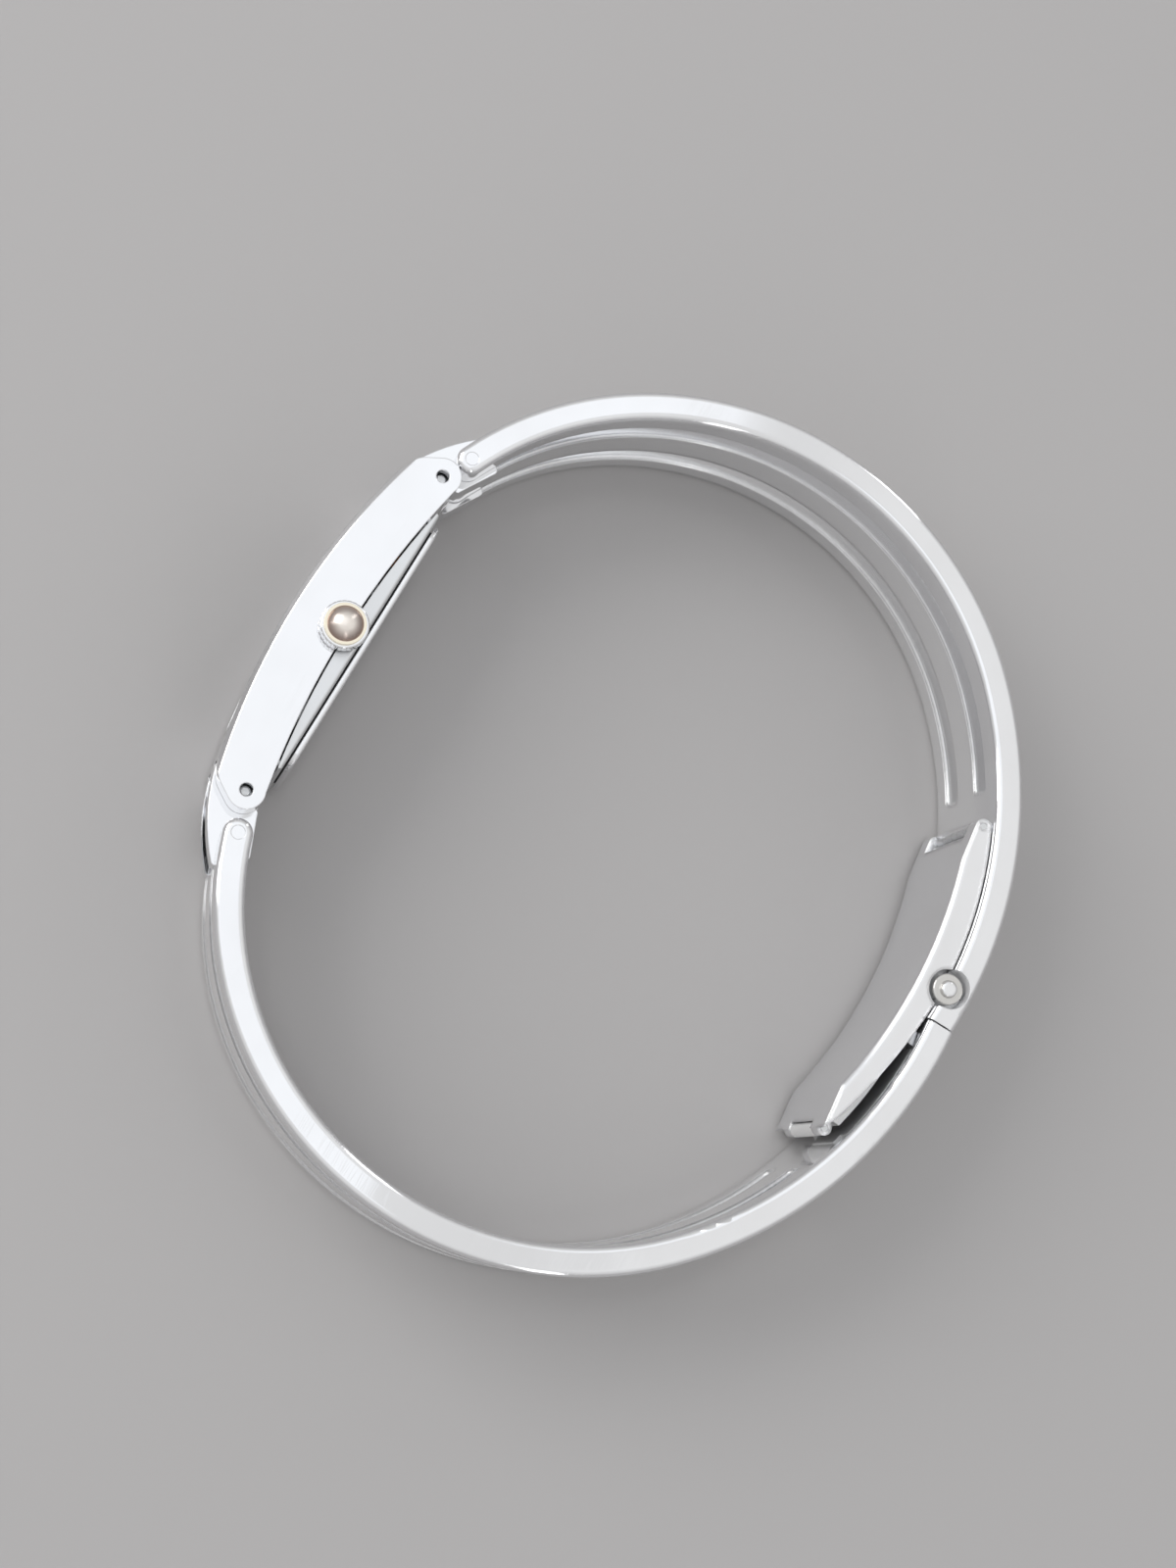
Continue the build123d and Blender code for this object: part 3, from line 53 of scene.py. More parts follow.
# Places on the watch in millimetres, as the solids have them.
BAND_WIDTH = 12.0
PIN_LINE_X = -22.794
PIN_LINE_Y = 0.7
CROWN_AXIS_X = -0.27
DOME_RADIUS = 1.2

# How far the finishes soften an edge, in metres.
CRISP_EDGE = 0.12 * MM
SOFT_EDGE = 0.6 * MM
BLADE_EDGE = 0.5 * MM
SATIN_EDGE = 0.08 * MM
CROWN_EDGE = 0.06 * MM
CAP_EDGE = 0.05 * MM
FINE_EDGE = 0.03 * MM

# The finish of the bangle's bars changes over this height, in metres, in step with the upper slot: below
# it their edges are softer and their colour is painted brighter, a painted highlight.
NEAR_BAR_LOW = 6.8 * MM
NEAR_BAR_FADE = 3.0 * MM

# The round recesses of the push buttons, and the tip of a button, round which its head has painted
# shade, in metres.
RECESS_RADIUS = 1.42 * MM
RECESS_FADE = 0.02 * MM
BUTTON_DOME_RADIUS = 0.46 * MM
BUTTON_DOME_FADE = 0.08 * MM

# How metallic the steel is where a trace of haze keeps a narrow gap from mirroring black.
HAZED_BAR = 0.92
HAZED_RECESS = 0.3
HAZED_BUTTON = 0.75
HAZED_LEAF = 0.5

# Colours of the finishes that have no setting in the panel, and of the painted highlights and painted
# shades noted beside them.
# Painted highlight: the bars farther back from the near rim are painted brighter than the clean polish.
BAR_BEHIND_PAINTED_BRIGHT = (0.94, 0.943, 0.95)
SATIN_RUBBED = (0.74, 0.75, 0.76)
# Painted shade on a button's head round its bright tip.
BUTTON_RING_PAINTED_SHADE = (0.64, 0.63, 0.61)
# Painted light: the leaf and the catch block are a copy of the satin steel painted lighter, to lift them
# out of the shade they sit in; the second colour is also their rubbed wear.
LEAF_STEEL_PAINTED_LIGHT = (0.80, 0.80, 0.80)
LEAF_RUBBED_PAINTED_LIGHT = (0.86, 0.86, 0.85)
CROWN_HANDLED = (0.70, 0.70, 0.71)
CHAMPAGNE = (0.90, 0.84, 0.78)
CHAMPAGNE_HANDLED = (0.84, 0.78, 0.73)
# Painted shade at the rim of the crown's dome.
CHAMPAGNE_PAINTED_SHADE = (0.42, 0.31, 0.27)
PALE_GOLD = (0.88, 0.81, 0.66)
DIAL_SHADE = (0.70, 0.69, 0.66)
CLEAR_GLASS = (0.98, 0.99, 0.99)
BLUED = (0.045, 0.055, 0.12)
BLUED_WORN = (0.08, 0.09, 0.15)
INK = (0.05, 0.05, 0.06)
INK_WORN = (0.08, 0.08, 0.09)
BRASS = (0.80, 0.62, 0.34)
BRASS_WORN = (0.70, 0.55, 0.32)
CELL_STEEL = (0.70, 0.71, 0.72)
CELL_STEEL_WORN = (0.60, 0.61, 0.63)
HOUSING = (0.05, 0.05, 0.055)
HOUSING_WORN = (0.08, 0.08, 0.08)
BOARD = (0.03, 0.16, 0.09)
BOARD_WORN = (0.05, 0.20, 0.11)
COPPER = (0.62, 0.28, 0.13)
# Painted shade between the turns of the coil.
COPPER_PAINTED_SHADE = (0.22, 0.08, 0.04)
RUBBER = (0.025, 0.025, 0.027)
RUBBER_WORN = (0.05, 0.05, 0.05)

# The sockets of a Mix node that mixes colours.
MIX_FIRST = 6
MIX_SECOND = 7
MIX_RESULT = 2

# Fine scratches: the turns of their three directions in radians, how far a scratch is drawn out,
# and how wide a line is as a share of the noise.
HAIRLINE_TURNS = ((0.3, 0.0, 0.4), (1.2, 0.5, 1.5), (0.8, 1.0, 2.6))
HAIRLINE_STRETCH = 0.035
HAIRLINE_WIDTH = 0.012

# The span of a noise's values that a mask runs over.
GRAIN_SPAN = (0.3, 0.7)
SMUDGE_SPAN = (0.38, 0.66)
PATCH_SPAN = (0.42, 0.62)
RAY_SPAN = (0.32, 0.68)


def case_place(x, y, z):
    """A point given in millimetres from the line of the lug pins, in metres in the frame."""
    return Vector(((PIN_LINE_X + x) * MM, (PIN_LINE_Y + y) * MM, z * MM))


def add_node(tree, kind, inputs=None, **fields):
    """A node with its fields set, and each input joined to a socket or given a value."""
    made = tree.nodes.new(kind)
    for name, value in fields.items():
        setattr(made, name, value)
    for key, value in (inputs or {}).items():
        if isinstance(value, bpy.types.NodeSocket):
            tree.links.new(value, made.inputs[key])
        else:
            made.inputs[key].default_value = value
    return made


def maths(tree, operation, first, second=0.0, clamp=False):
    """One step of arithmetic on sockets or numbers."""
    made = add_node(tree, "ShaderNodeMath", {0: first, 1: second}, operation=operation)
    made.use_clamp = clamp
    return made.outputs[0]


def spread(tree, value, low, high, to_low, to_high):
    """A value's span from low to high, brought to another span."""
    made = add_node(
        tree,
        "ShaderNodeMapRange",
        {"Value": value, "From Min": low, "From Max": high, "To Min": to_low, "To Max": to_high},
    )
    return made.outputs["Result"]


def shader_group(name, inputs, outputs):
    """An empty shader group with its sockets, and its input and output nodes."""
    tree = bpy.data.node_groups.new(name, "ShaderNodeTree")
    for label, kind, value in inputs:
        socket = tree.interface.new_socket(label, in_out="INPUT", socket_type=kind)
        socket.default_value = value
    for label, kind in outputs:
        tree.interface.new_socket(label, in_out="OUTPUT", socket_type=kind)
    return tree, tree.nodes.new("NodeGroupInput"), tree.nodes.new("NodeGroupOutput")


def hairline_group():
    """Fine crossing scratches: noise drawn out long and thin in three directions, cut to thin lines."""
    tree, given, result = shader_group(
        "hairlines",
        [("Vector", "NodeSocketVector", (0, 0, 0)), ("Density", "NodeSocketFloat", 900.0)],
        [("Mask", "NodeSocketFloat")],
    )
    mask = None
    for turn in HAIRLINE_TURNS:
        turned = add_node(
            tree,
            "ShaderNodeMapping",
            {
                "Vector": given.outputs["Vector"],
                "Rotation": turn,
                "Scale": (1.0, HAIRLINE_STRETCH, 1.0),
            },
        )
        grain = add_node(
            tree,
            "ShaderNodeTexNoise",
            {"Vector": turned.outputs[0], "Scale": given.outputs["Density"], "Detail": 1.0},
        )
        away = maths(tree, "ABSOLUTE", maths(tree, "SUBTRACT", grain.outputs["Fac"], HALF))
        line = spread(tree, away, 0.0, HAIRLINE_WIDTH, 1.0, 0.0)
        mask = line if mask is None else maths(tree, "MAXIMUM", mask, line)
    patches = add_node(
        tree, "ShaderNodeTexNoise", {"Vector": given.outputs["Vector"], "Scale": 140.0, "Detail": 1.0}
    )
    where = spread(tree, patches.outputs["Fac"], *PATCH_SPAN, 0.0, 1.0)
    tree.links.new(maths(tree, "MULTIPLY", mask, where), result.inputs["Mask"])
    return tree


def smudge_group():
    """Broad soft blotches of handling and wiping, from 0 to 1."""
    tree, given, result = shader_group(
        "smudges",
        [("Vector", "NodeSocketVector", (0, 0, 0)), ("Size", "NodeSocketFloat", 90.0)],
        [("Mask", "NodeSocketFloat")],
    )
    broad = add_node(
        tree,
        "ShaderNodeTexNoise",
        {
            "Vector": given.outputs["Vector"],
            "Scale": given.outputs["Size"],
            "Detail": 4.0,
            "Roughness": 0.6,
        },
    )
    tree.links.new(spread(tree, broad.outputs["Fac"], *SMUDGE_SPAN, 0.0, 1.0), result.inputs["Mask"])
    return tree


def grain_group():
    """A brushed grain: noise that is long along the surface and fine across the band's width."""
    tree, given, result = shader_group(
        "brushed_grain",
        [
            ("Vector", "NodeSocketVector", (0, 0, 0)),
            ("Fineness", "NodeSocketFloat", 5200.0),
            ("Along", "NodeSocketFloat", 0.04),
        ],
        [("Grain", "NodeSocketFloat")],
    )
    along = given.outputs["Along"]
    stretch = add_node(tree, "ShaderNodeCombineXYZ", {0: along, 1: along, 2: 1.0})
    drawn = add_node(
        tree,
        "ShaderNodeVectorMath",
        {0: given.outputs["Vector"], 1: stretch.outputs[0]},
        operation="MULTIPLY",
    )
    grain = add_node(
        tree,
        "ShaderNodeTexNoise",
        {
            "Vector": drawn.outputs[0],
            "Scale": given.outputs["Fineness"],
            "Detail": 3.0,
            "Roughness": 0.7,
        },
    )
    tree.links.new(grain.outputs["Fac"], result.inputs["Grain"])
    return tree


def edge_group():
    """How near the surface is to a sharp edge, from 0 to 1, and the normal of a softly broken edge."""
    flat_match, edge_match = 1.0, 0.9
    tree, given, result = shader_group(
        "broken_edge",
        [("Radius", "NodeSocketFloat", CRISP_EDGE)],
        [("Edge", "NodeSocketFloat"), ("Normal", "NodeSocketVector")],
    )
    rounded = add_node(tree, "ShaderNodeBevel", {"Radius": given.outputs["Radius"]}, samples=4)
    plain = tree.nodes.new("ShaderNodeNewGeometry")
    same = add_node(
        tree,
        "ShaderNodeVectorMath",
        {0: rounded.outputs[0], 1: plain.outputs["Normal"]},
        operation="DOT_PRODUCT",
    )
    near_edge = spread(tree, same.outputs["Value"], flat_match, edge_match, 0.0, 1.0)
    tree.links.new(near_edge, result.inputs["Edge"])
    tree.links.new(rounded.outputs[0], result.inputs["Normal"])
    return tree


GROUP_MAKERS = {
    "hairlines": hairline_group,
    "smudges": smudge_group,
    "brushed_grain": grain_group,
    "broken_edge": edge_group,
}


def use_group(tree, name, inputs):
    """A shared effect placed in a material, built the first time it is asked for."""
    inner = bpy.data.node_groups.get(name) or GROUP_MAKERS[name]()
    return add_node(tree, "ShaderNodeGroup", inputs, node_tree=inner)


def start_material(name, colour, metallic, roughness):
    """A material with a plain Principled shader, and the object's own coordinates."""
    made = bpy.data.materials.new(name)
    made.use_nodes = True
    tree = made.node_tree
    shader = tree.nodes["Principled BSDF"]
    shader.inputs["Base Color"].default_value = (*colour, 1.0)
    shader.inputs["Metallic"].default_value = metallic
    shader.inputs["Roughness"].default_value = roughness
    place = tree.nodes.new("ShaderNodeTexCoord").outputs["Object"]
    return made, tree, shader, place


def mixed(tree, mask, first, second):
    """A colour that runs from the first to the second with the mask, each a socket or a plain colour."""
    mix = add_node(tree, "ShaderNodeMix", {"Factor": mask}, data_type="RGBA")
    for key, colour in ((MIX_FIRST, first), (MIX_SECOND, second)):
        if isinstance(colour, bpy.types.NodeSocket):
            tree.links.new(colour, mix.inputs[key])
        else:
            mix.inputs[key].default_value = (*colour, 1.0)
    return mix.outputs[MIX_RESULT]


def tinted(tree, shader, mask, first, second):
    """The shader's colour runs from the first to the second with the mask."""
    tree.links.new(mixed(tree, mask, first, second), shader.inputs["Base Color"])


def polished(name, colour, worn_or_painted_shade, least, marked, edge_radius=CRISP_EDGE):
    """Mirror-polished metal: smudges and hairlines in the gloss, softly broken edges, a faint ripple."""
    line_rough, edge_rough = 0.1, 0.05
    line_depth, tint_share = 0.25, 0.6
    made, tree, shader, place = start_material(name, colour, metallic=1.0, roughness=least)
    smudge = use_group(tree, "smudges", {"Vector": place, "Size": 95.0}).outputs[0]
    lines = use_group(tree, "hairlines", {"Vector": place, "Density": 1500.0}).outputs[0]
    edge = use_group(tree, "broken_edge", {"Radius": edge_radius})
    rough = maths(tree, "ADD", maths(tree, "MULTIPLY", smudge, marked), least)
    rough = maths(tree, "ADD", rough, maths(tree, "MULTIPLY", lines, line_rough))
    rubbed = maths(tree, "MULTIPLY", edge.outputs["Edge"], edge_rough)
    rough = maths(tree, "ADD", rough, rubbed, clamp=True)
    tree.links.new(rough, shader.inputs["Roughness"])
    tinted(tree, shader, maths(tree, "MULTIPLY", smudge, tint_share), colour, worn_or_painted_shade)
    ripple = add_node(tree, "ShaderNodeTexNoise", {"Vector": place, "Scale": 260.0, "Detail": 1.0})
    scored = maths(tree, "SUBTRACT", ripple.outputs["Fac"], maths(tree, "MULTIPLY", lines, line_depth))
    bump = add_node(
        tree,
        "ShaderNodeBump",
        {"Height": scored, "Strength": 0.05, "Distance": 0.04 * MM, "Normal": edge.outputs["Normal"]},
    )
    tree.links.new(bump.outputs[0], shader.inputs["Normal"])
    return made


def away_from(tree, place, axis):
    """The distance of a place from an upright line."""
    centred = add_node(
        tree, "ShaderNodeMapping", {"Vector": place, "Location": tuple(axis)}, vector_type="TEXTURE"
    )
    flat = add_node(
        tree,
        "ShaderNodeVectorMath",
        {0: centred.outputs[0], 1: (1.0, 1.0, 0.0)},
        operation="MULTIPLY",
    )
    length = add_node(tree, "ShaderNodeVectorMath", {0: flat.outputs[0]}, operation="LENGTH")
    return length.outputs["Value"]


def opened(made):
    """A finished material's tree, its shader and the object's own coordinates."""
    tree = made.node_tree
    return tree, tree.nodes["Principled BSDF"], tree.nodes["Texture Coordinate"].outputs["Object"]


def hazed_recess(made, axis):
    """Makes a material's steel hazy in the buttons' recesses, and very slightly so elsewhere."""
    tree, shader, place = opened(made)
    away = away_from(tree, place, axis)
    metal = spread(tree, away, RECESS_RADIUS, RECESS_RADIUS + RECESS_FADE, HAZED_RECESS, HAZED_BAR)
    tree.links.new(metal, shader.inputs["Metallic"])


def ringed_button(name, colour, worn_or_painted_shade, least, marked, axis):
    """Polished steel on a push button: the head round its tip is painted darker, a painted shade that
    leaves the tip bright.
    """
    made = polished(name, colour, worn_or_painted_shade, least, marked)
    tree, shader, place = opened(made)
    shader.inputs["Metallic"].default_value = HAZED_BUTTON
    away = away_from(tree, place, axis)
    outside = spread(tree, away, BUTTON_DOME_RADIUS, BUTTON_DOME_RADIUS + BUTTON_DOME_FADE, 0.0, 1.0)
    handled = shader.inputs["Base Color"].links[0].from_socket
    # The head round the tip is painted darker: painted shade.
    tinted(tree, shader, outside, handled, BUTTON_RING_PAINTED_SHADE)
    return made


def polished_bar(name, colour, worn_or_painted_shade, least, marked, painted_brighter):
    """Polished steel: crisp edges at the near rim; on the bars farther back softer edges and a colour
    painted brighter, a painted highlight.
    """
    made = polished(name, colour, worn_or_painted_shade, least, marked)
    tree, shader, place = opened(made)
    height = add_node(tree, "ShaderNodeSeparateXYZ", {0: place}).outputs[2]
    near = spread(tree, height, NEAR_BAR_LOW, NEAR_BAR_LOW + NEAR_BAR_FADE, 0.0, 1.0)
    radius = spread(tree, near, 0.0, 1.0, SOFT_EDGE, CRISP_EDGE)
    for node in tree.nodes:
        if node.type == "GROUP" and node.node_tree.name == "broken_edge":
            tree.links.new(radius, node.inputs["Radius"])
    handled = shader.inputs["Base Color"].links[0].from_socket
    # Away from the near rim the colour is painted brighter: a painted highlight.
    tinted(tree, shader, near, painted_brighter, handled)
    return made


def crown_gold(name, axis):
    """Polished gold: a champagne dome, bright in the middle and painted darker to its rim as painted
    shade, in a paler ring.
    """
    dome_radius, ring_fade = DOME_RADIUS * MM, 0.04 * MM
    bright_share = 0.45
    made = polished(name, CHAMPAGNE, CHAMPAGNE_HANDLED, least=0.27, marked=0.09, edge_radius=CAP_EDGE)
    tree, shader, place = opened(made)
    away = away_from(tree, place, axis)
    outside = spread(tree, away, dome_radius, dome_radius + ring_fade, 0.0, 1.0)
    painted_rim_shade = spread(tree, away, bright_share * dome_radius, dome_radius, 0.0, 1.0)
    handled = shader.inputs["Base Color"].links[0].from_socket
    # The dome is painted darker towards its rim: painted shade.
    dome = mixed(tree, painted_rim_shade, handled, CHAMPAGNE_PAINTED_SHADE)
    tinted(tree, shader, outside, dome, PALE_GOLD)
    return made


def brushed(name, colour, worn_or_painted_shade, least, most, fineness=5200.0, strength=0.35, metallic=1.0):
    """Satin metal with a grain along the band, smoother where its edges are rubbed."""
    edge_gloss = 0.1
    made, tree, shader, place = start_material(name, colour, metallic, least)
    grain = use_group(tree, "brushed_grain", {"Vector": place, "Fineness": fineness}).outputs[0]
    smudge = use_group(tree, "smudges", {"Vector": place, "Size": 160.0}).outputs[0]
    edge = use_group(tree, "broken_edge", {"Radius": SATIN_EDGE})
    rough = spread(tree, grain, *GRAIN_SPAN, least, most)
    rubbed = maths(tree, "MULTIPLY", edge.outputs["Edge"], edge_gloss)
    rough = maths(tree, "SUBTRACT", rough, rubbed, clamp=True)
    tree.links.new(rough, shader.inputs["Roughness"])
    tinted(tree, shader, maths(tree, "MULTIPLY", maths(tree, "ADD", grain, smudge), HALF), colour, worn_or_painted_shade)
    bump = add_node(
        tree,
        "ShaderNodeBump",
        {"Height": grain, "Strength": strength, "Distance": 0.02 * MM, "Normal": edge.outputs["Normal"]},
    )
    tree.links.new(bump.outputs[0], shader.inputs["Normal"])
    return made


def moulded(name, colour, worn_or_painted_shade, least, grain_scale, strength, coat=0.0):
    """Rubber, resin or lacquer: fine pebbling and a little variation in the gloss."""
    made, tree, shader, place = start_material(name, colour, metallic=0.0, roughness=least)
    gloss_spread = 0.15
    shader.inputs["Coat Weight"].default_value = coat
    pebble = add_node(tree, "ShaderNodeTexNoise", {"Vector": place, "Scale": grain_scale, "Detail": 3.0})
    smudge = use_group(tree, "smudges", {"Vector": place, "Size": 220.0}).outputs[0]
    rough = spread(tree, smudge, 0.0, 1.0, least, least + gloss_spread)
    tree.links.new(rough, shader.inputs["Roughness"])
    tinted(tree, shader, smudge, colour, worn_or_painted_shade)
    bump = add_node(
        tree,
        "ShaderNodeBump",
        {"Height": pebble.outputs["Fac"], "Strength": strength, "Distance": 0.02 * MM},
    )
    tree.links.new(bump.outputs[0], shader.inputs["Normal"])
    return made


def glass_material(colour):
    """Clear mineral glass with a trace of wiping in its gloss."""
    glass_index, wiped_rough = 1.5, 0.03
    made, tree, shader, place = start_material("crystal_glass", colour, metallic=0.0, roughness=0.0)
    shader.inputs["Transmission Weight"].default_value = 1.0
    shader.inputs["IOR"].default_value = glass_index
    smudge = use_group(tree, "smudges", {"Vector": place, "Size": 240.0}).outputs[0]
    tree.links.new(spread(tree, smudge, 0.0, 1.0, 0.0, wiped_rough), shader.inputs["Roughness"])
    return made


def dial_material(colour, worn_or_painted_shade, middle):
    """Silvery lacquer brushed outwards from the middle of the dial, as a sunburst."""
    smoothest, roughest, fine_share = 0.26, 0.36, 0.4
    made, tree, shader, place = start_material("dial_sunburst", colour, metallic=0.75, roughness=0.3)
    centred = add_node(
        tree,
        "ShaderNodeMapping",
        {"Vector": place, "Location": tuple(middle)},
        vector_type="TEXTURE",
    )
    split = add_node(tree, "ShaderNodeSeparateXYZ", {0: centred.outputs[0]})
    angle = maths(tree, "ARCTAN2", split.outputs[2], split.outputs[1])
    ray_noise = add_node(
        tree, "ShaderNodeTexNoise", {"W": angle, "Scale": 100.0, "Detail": 3.0}, noise_dimensions="1D"
    )
    fine_noise = add_node(tree, "ShaderNodeTexNoise", {"Vector": place, "Scale": 4200.0, "Detail": 2.0})
    rays = ray_noise.outputs["Fac"]
    tree.links.new(spread(tree, rays, *GRAIN_SPAN, smoothest, roughest), shader.inputs["Roughness"])
    tinted(tree, shader, spread(tree, rays, *RAY_SPAN, 0.0, 1.0), colour, worn_or_painted_shade)
    height = maths(tree, "ADD", rays, maths(tree, "MULTIPLY", fine_noise.outputs["Fac"], fine_share))
    bump = add_node(tree, "ShaderNodeBump", {"Height": height, "Strength": 0.03, "Distance": 0.02 * MM})
    tree.links.new(bump.outputs[0], shader.inputs["Normal"])
    return made


def wound_material(colour, worn_or_painted_shade):
    """Lacquered wire laid turn beside turn along the coil, with painted shade between the turns."""
    made, tree, shader, place = start_material("wound_copper", colour, metallic=0.8, roughness=0.25)
    turns = add_node(
        tree,
        "ShaderNodeTexWave",
        {"Vector": place, "Scale": 900.0, "Distortion": 0.6, "Detail": 1.0},
        wave_type="BANDS",
        bands_direction="Y",
    )
    # The colour is painted darker between the turns: painted shade.
    tinted(tree, shader, turns.outputs["Fac"], worn_or_painted_shade, colour)
    bump = add_node(
        tree, "ShaderNodeBump", {"Height": turns.outputs["Fac"], "Strength": 0.6, "Distance": 0.04 * MM}
    )
    tree.links.new(bump.outputs[0], shader.inputs["Normal"])
    return made


def finish_nodes(names, material):
    """Gives CAD nodes a material in their own slots."""
    for name in names:
        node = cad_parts[name]
        if not node.material_slots:
            node.data.materials.append(material)
        for slot in node.material_slots:
            slot.material = material


def geometry_group(name, inputs):
    """An empty Geometry Nodes tree with named inputs, and its input and output nodes."""
    tree = bpy.data.node_groups.new(name, "GeometryNodeTree")
    tree.interface.new_socket("Geometry", in_out="OUTPUT", socket_type="NodeSocketGeometry")
    for label, kind in inputs:
        tree.interface.new_socket(label, in_out="INPUT", socket_type=kind)
    return tree, tree.nodes.new("NodeGroupInput"), tree.nodes.new("NodeGroupOutput")


def ring_of_markers(tree, given, marker, material):
    """Copies of one marker round a rectangle, each turned to the middle, as one finished mesh."""
    never_zero = 1e-4
    count = given.outputs["Count"]
    points = add_node(tree, "GeometryNodePoints", {"Count": count})
    number = tree.nodes.new("GeometryNodeInputIndex").outputs[0]
    turn = maths(tree, "DIVIDE", maths(tree, "MULTIPLY", number, math.tau), count)
    side, up = maths(tree, "SINE", turn), maths(tree, "COSINE", turn)
    sideways = maths(tree, "MAXIMUM", maths(tree, "ABSOLUTE", side), never_zero)
    upwards = maths(tree, "MAXIMUM", maths(tree, "ABSOLUTE", up), never_zero)
    across = maths(tree, "DIVIDE", given.outputs["Half Width"], sideways)
    along = maths(tree, "DIVIDE", given.outputs["Half Height"], upwards)
    reach = maths(tree, "MINIMUM", across, along)
    flat = add_node(
        tree,
        "ShaderNodeCombineXYZ",
        {0: 0.0, 1: maths(tree, "MULTIPLY", up, reach), 2: maths(tree, "MULTIPLY", side, reach)},
    )
    placed = add_node(
        tree, "GeometryNodeSetPosition", {"Geometry": points.outputs[0], "Position": flat.outputs[0]}
    )
    facing = add_node(tree, "ShaderNodeCombineXYZ", {0: turn, 1: 0.0, 2: 0.0})
    spun = add_node(
        tree,
        "GeometryNodeInstanceOnPoints",
        {"Points": placed.outputs[0], "Instance": marker, "Rotation": facing.outputs[0]},
    )
    real = add_node(tree, "GeometryNodeRealizeInstances", {"Geometry": spun.outputs[0]})
    done = add_node(tree, "GeometryNodeSetMaterial", {"Geometry": real.outputs[0], "Material": material})
    return done.outputs[0]


def plain_mesh(name, tree, values, at):
    """What a Geometry Nodes tree makes with these inputs, as a plain mesh moved to its place."""
    holder = bpy.data.objects.new(name + "_holder", bpy.data.meshes.new(name + "_holder"))
    bpy.context.scene.collection.objects.link(holder)
    modifier = holder.modifiers.new("markers", "NODES")
    modifier.node_group = tree
    for item in tree.interface.items_tree:
        if item.item_type == "SOCKET" and item.in_out == "INPUT" and item.name in values:
            modifier[item.identifier] = values[item.name]
    bpy.context.view_layer.update()
    ready = holder.evaluated_get(bpy.context.evaluated_depsgraph_get())
    mesh = bpy.data.meshes.new_from_object(ready)
    holder.modifiers.remove(modifier)
    bpy.data.objects.remove(holder)
    mesh.transform(Matrix.Translation(at))
    mesh.name = name
    made = bpy.data.objects.new(name, mesh)
    bpy.context.scene.collection.objects.link(made)
    return made


class BangleWatchSteel(bpy.types.PropertyGroup):
    """Colours and gloss of the steel."""

    colour: bpy.props.FloatVectorProperty(
        name="Polished steel",
        description="Colour of the mirror-polished bars and case",
        subtype="COLOR",
        size=3,
        default=(0.86, 0.865, 0.88),
    )
    worn_or_painted_shade: bpy.props.FloatVectorProperty(
        name="Handled steel",
        description="Colour of the polish where it is handled",
        subtype="COLOR",
        size=3,
        default=(0.80, 0.80, 0.81),
    )
    satin: bpy.props.FloatVectorProperty(
        name="Satin steel",
        description="Colour of the brushed inner pieces",
        subtype="COLOR",
        size=3,
        default=(0.68, 0.69, 0.70),
    )
    gloss: bpy.props.FloatProperty(
        name="Least roughness",
        description="Roughness of the clean polish",
        default=0.045,
        min=0.0,
        max=1.0,
        subtype="FACTOR",
    )


class BangleWatchDial(bpy.types.PropertyGroup):
    """Sizes of the dial's markers."""

    hours: bpy.props.IntProperty(
        name="Hour markers",
        description="How many batons stand on the dial",
        default=12,
        min=4,
        max=24,
    )
    baton_length: bpy.props.FloatProperty(
        name="Baton length", description="Length of one baton", default=0.9 * MM, unit="LENGTH"
    )
    baton_width: bpy.props.FloatProperty(
        name="Baton width", description="Width of one baton", default=0.16 * MM, unit="LENGTH"
    )
    baton_height: bpy.props.FloatProperty(
        name="Baton height",
        description="How far a baton stands off the dial",
        default=0.09 * MM,
        unit="LENGTH",
    )
    half_width: bpy.props.FloatProperty(
        name="Half width",
        description="Half the width of the rectangle that the batons follow",
        default=3.0 * MM,
        unit="LENGTH",
    )
    half_height: bpy.props.FloatProperty(
        name="Half height",
        description="Half the height of that rectangle",
        default=6.9 * MM,
        unit="LENGTH",
    )
    minutes: bpy.props.IntProperty(
        name="Minute dots",
        description="How many printed dots go round the batons",
        default=60,
        min=12,
        max=120,
    )
    dot_radius: bpy.props.FloatProperty(
        name="Dot radius", description="Radius of one printed dot", default=0.06 * MM, unit="LENGTH"
    )
    colour: bpy.props.FloatVectorProperty(
        name="Dial",
        description="Colour of the dial's lacquer",
        subtype="COLOR",
        size=3,
        default=(0.86, 0.85, 0.81),
    )


class BangleWatchStage(bpy.types.PropertyGroup):
    """Floor, background and lamps."""

    floor: bpy.props.FloatVectorProperty(
        name="Floor",
        description="Colour of the floor",
        subtype="COLOR",
        size=3,
        default=(0.44, 0.43, 0.43),
    )
    backdrop: bpy.props.FloatVectorProperty(
        name="Backdrop",
        description="Colour just above the floor",
        subtype="COLOR",
        size=3,
        default=(0.40, 0.39, 0.39),
    )
    overhead: bpy.props.FloatVectorProperty(
        name="Overhead",
        description="Colour high above the floor",
        subtype="COLOR",
        size=3,
        default=(0.80, 0.80, 0.80),
    )
    key_power: bpy.props.FloatProperty(
        name="Key lamp",
        description="Power of the side lamp that casts the shadow",
        default=1.6,
        unit="POWER",
    )
    cool_power: bpy.props.FloatProperty(
        name="Cool panel",
        description="Power of the large cool panel overhead",
        default=0.40,
        unit="POWER",
    )
    neutral_power: bpy.props.FloatProperty(
        name="Neutral panel",
        description="Power of the large neutral panel overhead",
        default=0.10,
        unit="POWER",
    )
    strip_power: bpy.props.FloatProperty(
        name="Strip lamps",
        description="Power of each tall lamp beside the watch",
        default=0.22,
        unit="POWER",
    )
    surround: bpy.props.FloatProperty(
        name="Surround", description="Strength of the light from all round", default=0.7, min=0.0
    )


